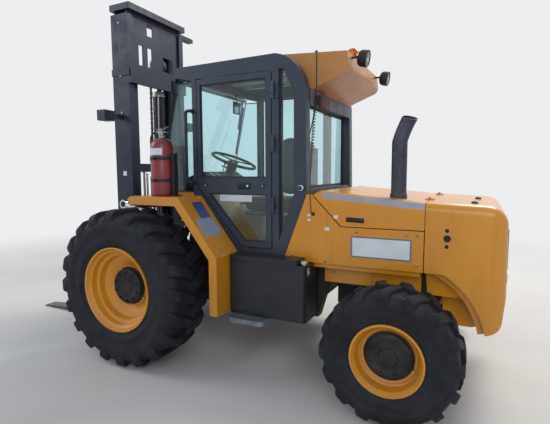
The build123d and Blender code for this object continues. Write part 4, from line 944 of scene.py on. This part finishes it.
# Fire extinguisher on the fender
def make_extinguisher():
    x, y, z0 = EXTINGUISHER_X, EXTINGUISHER_Y, 1.3103
    tank = Shape()
    tank.lathe([(0, 0.004), (0.074, 0.004), (0.078, 0.0), (0.086, 0.0), (0.0905, 0.006),
                (0.092, 0.018), (0.092, 0.375), (0.0905, 0.392), (0.084, 0.412), (0.070, 0.430),
                (0.050, 0.443), (0.030, 0.450), (0.022, 0.452), (0.021, 0.4547), (0, 0.4547)],
               (x, y, z0), (0, 0, 1), 64)
    tank = tank.make("extinguisher_body", red)
    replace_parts(tank, "extinguisher")
    label = Shape()
    rows = []
    for z in (1.628, 1.655, 1.680):
        row = []
        for k in range(11):
            a = math.radians(40 + 9 * k)
            way = (math.cos(a), math.sin(a), 0)
            row.append(((x + 0.0927 * way[0], y + 0.0927 * way[1], z), way))
        rows.append(row)
    film(label, rows, 0.0006)
    label.make("extinguisher_blank_label", white_film)
    valve = Shape()
    valve.lathe([(0, 0.0), (0.0235, 0.0), (0.0235, 0.012), (0.017, 0.016), (0.017, 0.040),
                 (0.014, 0.052), (0, 0.055)], (x, y, 1.764), (0, 0, 1), 28)
    valve.rod((x, y, 1.808), (x + 0.045, y, 1.808), 0.011, 0.010, 20)
    valve.lathe([(0, 0.0), (0.012, 0.0), (0.013, 0.003), (0.013, 0.008), (0, 0.010)],
                (x, y + 0.016, 1.790), (0, 1, 0), 20)
    valve.make("extinguisher_valve", dull_steel)
    grips = Shape()
    for points, thick in (
            ([(-0.012, 1.818), (-0.062, 1.842), (-0.062, 1.847), (-0.010, 1.826), (0.044, 1.834),
              (0.044, 1.828)], 0.024),
            ([(-0.012, 1.806), (-0.060, 1.800), (-0.061, 1.806), (-0.012, 1.814)], 0.018)):
        grips.plate([(x + px, y - thick / 2, pz) for px, pz in points], (0, thick, 0), 0.001)
    grips.make("extinguisher_grips", dull_steel)
    straps = Shape()
    for z in (1.420, 1.590):
        straps.lathe([(0.0924, 0.003), (0.0966, 0.002), (0.0966, 0.024), (0.0924, 0.023)],
                     (x, y, z), (0, 0, 1), 56)
        straps.box((x - 0.012, x + 0.012), (y + 0.090, y + 0.107), (z + 0.003, z + 0.023), 0.002)
    straps.make("extinguisher_straps", plastic)
    pin = Shape()
    ring = [(0.011 + 0.0014 * math.cos(a), 0.0014 * math.sin(a))
            for a in (2 * math.pi * k / 8 for k in range(9))]
    pin.lathe(ring, (x - 0.01, y + 0.024, 1.822), (0.2, 1, 0.1), 24)
    pin.rod((x - 0.01, y - 0.015, 1.822), (x - 0.01, y + 0.022, 1.822), 0.0014, count=8)
    pin.make("extinguisher_pin", bright)


# Hood, side panels, counterweight and exhaust
def hood_top(x):
    return 1.362 - (-1.44 - x) * 0.060 / 0.702


def make_side_plates():
    """Blank plates and tags, on the left side alone."""
    sign = Shape()
    outline = [(-1.674, 0.919), (-2.067, 0.919), (-2.067, 1.061), (-1.674, 1.061)]
    ring_of(sign, outline, 0.009, BODY_HALF, BODY_HALF + 0.0022)
    sign.make("sign_border", edge_film)
    field = Shape()
    field.plate([(px, BODY_HALF, pz) for px, pz in inset(outline, 0.0092)], (0, 0.0014, 0))
    field.make("sign_field", white_film)
    for name, body, spots in (
            ("hood_blank_tag", "hood", [(-1.567, 1.186, 0.030, 0.022)]),
            ("panel_blank_tags", "chassis", [(-1.369, 1.191, 0.022, 0.018),
                                             (-1.369, 1.156, 0.022, 0.018),
                                             (-1.503, 1.100, 0.034, 0.024)])):
        tags = Shape()
        for x, z, w, h in spots:
            tags.panel((x - w / 2, x + w / 2), BODY_HALF, (z - h / 2, z + h / 2), 0.0008)
        tags.make(name, white_film, body)


def make_body_trim():
    make_side_plates()
    for side, hand in ((1, "left"), (-1, "right")):
        face = side * BODY_HALF
        # A pale blue-grey film along the hood's rounded top edge: a painted reflection of the sky
        painted_reflection = Shape()
        rows = []
        for k in range(13):
            x = -1.462 - 0.676 * k / 12
            z = hood_top(x) - 0.060
            row = []
            for j in range(6):
                a = math.radians(14 + 8 * j)
                way = (0, side * math.cos(a), math.sin(a))
                row.append(((x, side * 0.540 + 0.0608 * way[1], z + 0.0608 * way[2]), way))
            rows.append(row)
        film(painted_reflection, rows, 0.0007)
        painted_reflection.make(f"hood_painted_reflection_{hand}", grey_film, "hood")
        grip = Shape()
        grip.plate([(-1.638, face, 1.156), (-1.761, face, 1.152), (-1.761, face, 1.184),
                    (-1.638, face, 1.188)], (0, side * 0.004, 0), 0.0015)
        grip.plate([(-1.650, face + side * 0.004, 1.164), (-1.749, face + side * 0.004, 1.160),
                    (-1.749, face + side * 0.004, 1.172), (-1.650, face + side * 0.004, 1.176)],
                   (0, side * 0.010, 0), 0.004)
        grip.make(f"hood_latch_{hand}", plastic, "hood")
        studs = Shape()
        spots = [(-1.712, 1.090), (-2.036, 1.090), (-1.491, 0.873), (-1.519, 0.776),
                 (-1.24, 0.90), (-2.10, 0.90), (-2.10, 1.09), (-2.07, 0.74), (-1.80, 0.74)]
        for px, pz in spots:
            inward = face if pz > 0.856 else side * 0.4893
            studs.lathe([(0, 0.006), (0.005, 0.0055), (0.0085, 0.003), (0.0095, 0.0)],
                        (px, inward, pz), (0, side, 0), 16)
        studs.make(f"panel_studs_{hand}", dull_steel)
        cast = Shape()
        for pz in (1.131, 1.032):
            cast.lathe([(0, 0.004), (0.008, 0.004), (0.011, 0.002), (0.012, 0.0)],
                       (-2.274, face, pz), (0, side, 0), 20)
        cast.make(f"tail_screws_{hand}", black)
        dark = Shape()
        dark.lathe([(0, 0.003), (0.010, 0.003), (0.013, 0.006), (0.019, 0.006), (0.022, 0.0)],
                   (-2.275, face, 1.082), (0, side, 0), 24)
        if side > 0:
            for cx, cy in ((-2.434, -0.058), (-2.417, 0.423)):
                dark.lathe([(0, 0.016), (0.010, 0.015), (0.018, 0.010), (0.022, 0.002),
                            (0.023, 0.0)], (cx, cy, 1.2908), (0, 0, 1), 24)
        dark.make(f"tail_caps_{hand}", plastic)
    clamp = Shape()
    clamp.lathe([(0.0505, 1.338), (0.055, 1.3365), (0.0505, 1.346)], (STACK_X, STACK_Y, 0),
                (0, 0, 1), 48)
    clamp.make("exhaust_collar", exhaust_steel, "hood")
    guard = Shape()
    for k in range(6):
        a = 2 * math.pi * k / 6 + 0.3
        x, y = STACK_X + 0.0505 * math.cos(a), STACK_Y + 0.0505 * math.sin(a)
        guard.rod((x, y, 1.341), (x, y, 1.349), 0.005, count=6)
    guard.make("exhaust_bolts", dull_steel, "hood", "exhaust")


# Side tanks and fenders
SCREW = [(0, 0.005), (0.006, 0.0045), (0.010, 0.0)]


def make_side_trim():
    for side, hand in ((1, "left"), (-1, "right")):
        y = side * 0.690
        cap = Shape()
        cap.lathe([(0, 0.032), (0.022, 0.032), (0.0275, 0.028), (0.0285, 0.022), (0.0285, 0.006),
                   (0.020, 0.004), (0.020, 0.0)], (-1.371, y, 0.8502), (0, 0, 1), 28)
        for k in range(10):
            a = 2 * math.pi * k / 10
            rib_x, rib_y = -1.371 + 0.0282 * math.cos(a), y + 0.0282 * math.sin(a)
            cap.rod((rib_x, rib_y, 0.857), (rib_x, rib_y, 0.874), 0.0024, count=6)
        cap.make(f"tank_filler_{hand}", bright)
        hasp = Shape()
        hasp.box((-1.4035, -1.4003), (y - 0.018, y + 0.018), (0.775, 0.835), 0.001)
        hasp.box((-1.410, -1.4030), (y - 0.009, y + 0.009), (0.785, 0.815), 0.002)
        hasp.rod((-1.4065, y - 0.013, 0.8265), (-1.4065, y + 0.013, 0.8265), 0.004, count=10)
        hasp.make(f"tank_latch_{hand}", bright)
        seam = Shape()
        face = side * 0.750
        for z in ((0.846, 0.8525), (0.470, 0.476)):
            seam.box((-1.364, -0.822), sorted((face, face + side * 0.0025)), z, 0.001)
        seam.make(f"tank_ribs_{hand}", tank_skin, "chassis", "chassis_black")
        trim = Shape()
        slope = Vector((-0.331, 0, -0.425)).normalized()
        top = Vector((-0.455, 0, 1.310))
        away = Vector((-0.789, 0, 0.6145))
        # The films are on the left fender alone
        for s0, s1, y0, y1, finish, name in (
                (0.055, 0.205, 0.665, 0.790, blue_film, "fender_film_blue_left"),
                (0.205, 0.360, 0.655, 0.865, grey_film, "fender_film_pale_left"),
        ) if side > 0 else ():
            patch = Shape()
            film(patch, [[(top + slope * s + Vector((0, v, 0)) + away * 0.0009, away)
                          for v in (y0, (y0 + y1) / 2, y1)] for s in (s0, (s0 + s1) / 2, s1)],
                 0.0008)
            patch.make(name, finish)
        for s in (0.02, 0.30, 0.50):
            for v in (0.650, 0.850):
                p = top + slope * s + Vector((0, side * v, 0))
                trim.lathe(SCREW, p, away, 14)
        for x in (-0.02, -0.24, -0.42):
            trim.lathe(SCREW, (x, side * 0.880, 1.310), (0, 0, 1), 14)
        trim.make(f"fender_screws_{hand}", dull_steel)


# Mast details
def leaf_chain(name, x, y, z0, z1, pitch=0.0254):
    """A leaf chain: rows of waisted plates on pins, hanging straight."""
    def arc(z, start):
        return [(0.0055 * math.cos(math.radians(a)), z + 0.0065 * math.sin(math.radians(a)))
                for a in range(start, start + 141, 35)]

    outline = (arc(0.001, 200) + [(0.0040, pitch / 2)] + arc(pitch - 0.001, 20)
               + [(-0.0040, pitch / 2)])
    links, pins = Shape(), Shape()
    for k in range(int((z1 - z0) / pitch)):
        low = z0 + k * pitch
        offsets = (-0.0095, 0.0, 0.0095) if k % 2 else (-0.0128, -0.0048, 0.0048, 0.0128)
        for off in offsets:
            links.plate([(x + px, y + off - 0.0014, low + pz) for px, pz in outline],
                        (0, 0.0028, 0))
        pins.rod((x, y - 0.0140, low), (x, y + 0.0140, low), 0.0026, count=8)
    links = links.make(name + "_plates", chain_steel, "mast_inner")
    pins.make(name + "_pins", dull_steel, "mast_inner", "chain")
    return links


def make_mast_trim():
    chains = [leaf_chain(f"lift_chain_{k}", 0.6362, RAM_Y + off, 0.566, 2.584)
              for k, off in enumerate(CHAIN_OFFSETS)]
    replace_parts(chains[0], "lift_chains")
    pulleys = Shape()
    for off in CHAIN_OFFSETS:
        for s in (1, -1):
            pulleys.lathe([(0.030, 0.0), (0.057, 0.0), (0.0605, 0.002), (0.057, 0.004),
                           (0.030, 0.004)], (RAM_X, RAM_Y + off + s * 0.014, 2.585), (0, s, 0), 40)
    pulleys.lathe([(0.0185, -0.080), (0.026, -0.0795), (0.026, -0.084), (0, -0.087)],
                  (RAM_X, RAM_Y, 2.585), (0, 1, 0), 24)
    pulleys.make("chain_pulley_rims", dull_steel, "mast_inner")
    for k, (y, radius, finish, top) in enumerate(((0.286, 0.011, tan_hose, 1.500),
                                                  (0.246, 0.010, pale_hose, 1.485),
                                                  (0.190, 0.0095, cable, 1.455))):
        sleeve = Shape()
        sleeve.lathe([(radius * 0.8, 1.262), (radius, 1.268), (radius, top - 0.030),
                      (radius * 0.8, top - 0.026), (radius * 0.8, top - 0.020),
                      (radius * 1.15, top - 0.017), (radius * 1.15, top - 0.003),
                      (radius * 0.9, top), (0, top)], (0.448, y, 0), (0, 0, 1), 24)
        sleeve.make(f"mast_coupler_{k}", finish, "mast_outer")
    clamps = Shape()
    z = 1.215
    clamps.box((0.4365, 0.4598), (0.172, 0.304), (z - 0.012, z + 0.012), 0.003)
    clamps.bolts([(0.4365, v, z) for v in (0.218, 0.266)], (-1, 0, 0), 0.007, 0.006)
    clamps.make("mast_coupler_clamp", dull_steel, "mast_outer")
    ends = Shape()
    for y in (0.286, 0.246, 0.190):
        ends.rod((0.448, y, 1.180), (0.448, y, 1.264), 0.0085, count=16)
        ends.rod((0.448, y, 1.236), (0.448, y, 1.258), 0.0125, count=6)
        ends.rod((0.448, y, 1.186), (0.4598, y, 1.186), 0.0085, count=12)
    ends.make("mast_coupler_ends", dull_steel, "mast_outer")
    pipe("ram_feed_pipe", [(0.600, -0.020, 0.215), (0.600, 0.010, 0.225), (0.590, 0.014, 0.30),
                           (0.545, -0.020, 0.40), (0.530, -0.030, 0.50), (0.530, -0.030, 1.20),
                           (0.530, -0.030, 2.00), (0.530, -0.034, 2.22), (0.545, -0.050, 2.27)],
         0.007, dull_steel, "mast_outer")
    for k, y in enumerate((-0.176, -0.196)):
        pipe(f"mast_pipe_{k}", [(0.452, y, 1.158), (0.452, y, 1.40), (0.452, y, 1.80),
                                (0.452, y, 2.20), (0.452, y, 2.44)], 0.0065, black, "mast_outer")
    rings = Shape()
    rings.lathe([(0.0580, 2.262), (0.0640, 2.264), (0.0640, 2.3085), (0.0600, 2.3155),
                 (0.0330, 2.3165), (0.0330, 2.262)], (RAM_X, RAM_Y, 0), (0, 0, 1), 48)
    rings.make("ram_gland", dull_steel, "mast_outer")
    run = Vector((0.545 + 0.300, 0, 1.200 - 0.985))
    along = run.normalized()
    base = Vector((-0.300, 0, 0.985))
    for side, hand in ((1, "left"), (-1, "right")):
        at = base + Vector((0, side * 0.452, 0))
        gland = Shape()
        gland.lathe([(0.0455, 0.565), (0.0500, 0.567), (0.0500, 0.597), (0.046, 0.6025),
                     (0.0250, 0.6030), (0.0250, 0.565)], at, along, 40)
        gland.lathe([(0.0452, 0.112), (0.0490, 0.114), (0.0490, 0.126), (0.0452, 0.128)], at,
                    along, 40)
        gland.make(f"tilt_gland_{hand}", dull_steel, "tilt_barrels")
        ports = Shape()
        for s in (0.17, 0.545):
            p = at + along * s
            ports.rod(p + Vector((0, 0, 0.040)), p + Vector((0, 0, 0.062)), 0.011, count=6)
        ports.make(f"tilt_ports_{hand}", bright, "tilt_barrels")
        plate = Shape()
        for z in (0.24, 0.62, 1.21, 2.05, 2.385, 2.86):
            plate.lathe([(0, 0.007), (0.010, 0.007), (0.013, 0.004), (0.014, 0.0)],
                        (0.590, side * 0.395, z), (0, side, 0), 16)
        plate.make(f"mast_side_bolts_{hand}", dull_steel, "mast_outer")
        fork = Shape()
        y = side * 0.300
        fork.lathe([(0, 0.034), (0.010, 0.033), (0.013, 0.028), (0.013, 0.020), (0.006, 0.016),
                    (0.006, 0.0)], (0.7975, y, 0.665), (0, 0, 1), 16)
        fork.box((0.783, 0.812), (y - 0.020, y + 0.020), (0.665, 0.671), 0.002)
        fork.make(f"fork_pin_{hand}", bright, f"fork_{hand}")
    tag = Shape()
    tag.panel((0.560, 0.604), 0.3951, (1.466, 1.508), 0.001)
    tag.make("mast_blank_plate", white_film, "mast_outer")
    stop = Shape()
    stop.box((0.7715, 0.797), (-0.012, 0.012), (0.6402, 0.650), 0.002)
    stop.make("carriage_stop", black, "carriage")


# Stage: floor, surroundings and lamps
HAZE = rgb(236, 238, 240)


def seen_directly(tree):
    """1 for rays from the camera, a mirror or glass, and 0 for the rest."""
    path = tree.nodes.new("ShaderNodeLightPath")
    value = path.outputs["Is Camera Ray"]
    for kind in ("Is Glossy Ray", "Is Transmission Ray"):
        node = tree.nodes.new("ShaderNodeMath")
        node.operation = "MAXIMUM"
        tree.links.new(value, node.inputs[0])
        tree.links.new(path.outputs[kind], node.inputs[1])
        value = node.outputs[0]
    return value


def make_stage():
    size = 40
    mesh = bpy.data.meshes.new("floor")
    mesh.from_pydata([(-size, -size, 0), (size, -size, 0), (size, size, 0), (-size, size, 0)], [],
                     [(0, 1, 2, 3)])
    floor = bpy.data.objects.new("floor", mesh)
    scene.collection.objects.link(floor)
    n = Nodes("floor_pale")
    tone = n.blend(n.spread(n.noise(0.8, 8), 0.3, 0.7), rgb(214, 210, 204), rgb(206, 202, 196))
    n.put(tone, n.bsdf.inputs["Base Color"])
    n.put(n.spread(n.noise(3, 5), 0.3, 0.7, 0.75, 0.9), n.bsdf.inputs["Roughness"])
    n.bump(n.noise(60, 6), 0.15, 0.002)
    far = n.tree.nodes.new("ShaderNodeVectorMath")
    far.operation = "LENGTH"
    n.put(n.coords, far.inputs[0])
    glow = n.tree.nodes.new("ShaderNodeEmission")
    glow.inputs["Color"].default_value = HAZE
    n.put(n.spread(seen_directly(n.tree), 0, 1, 0.45, 1.0), glow.inputs["Strength"])
    fade = n.tree.nodes.new("ShaderNodeMixShader")
    n.put(n.spread(far.outputs["Value"], 3.0, 8.5), fade.inputs["Fac"])
    n.put(n.bsdf.outputs[0], fade.inputs[1])
    n.put(glow.outputs[0], fade.inputs[2])
    n.put(fade.outputs[0], n.tree.nodes["Material Output"].inputs["Surface"])
    floor.data.materials.append(n.material)

    world = bpy.data.worlds.new("surroundings")
    scene.world = world
    world.use_nodes = True
    tree = world.node_tree
    back = tree.nodes["Background"]
    mix = tree.nodes.new("ShaderNodeMix")
    mix.data_type = "RGBA"
    tree.links.new(seen_directly(tree), mix.inputs["Factor"])
    mix.inputs["A"].default_value = (0.34, 0.39, 0.47, 1)
    mix.inputs["B"].default_value = HAZE
    tree.links.new(mix.outputs["Result"], back.inputs["Color"])

    for name, at, aim, size, power, colour in (
            ("key", (-3.5, -4.5, 7.5), (-0.3, 0, 1.0), 4.0, 600, (1.0, 0.97, 0.92)),
            ("front", (6.0, 3.0, 4.5), (0, 0, 1.2), 4.0, 150, (0.94, 0.97, 1.0)),
            ("fill", (-3.5, 6.5, 3.8), (-0.3, 0, 1.0), 5.0, 150, (0.92, 0.96, 1.0))):
        data = bpy.data.lights.new(name, "AREA")
        data.shape = "DISK"
        data.size = size
        data.energy = power
        data.color = colour
        lamp = bpy.data.objects.new(name, data)
        lamp.location = at
        lamp.rotation_mode = "QUATERNION"
        lamp.rotation_quaternion = (Vector(aim) - Vector(at)).to_track_quat("-Z", "Y")
        scene.collection.objects.link(lamp)
    scene.view_settings.view_transform = "Standard"


set_camera()
dress_nodes()
make_cords()
make_wheels()
make_seat()
make_controls()
make_door()
make_cab_trim()
make_lamps()
make_extinguisher()
make_body_trim()
make_side_trim()
make_mast_trim()
make_stage()
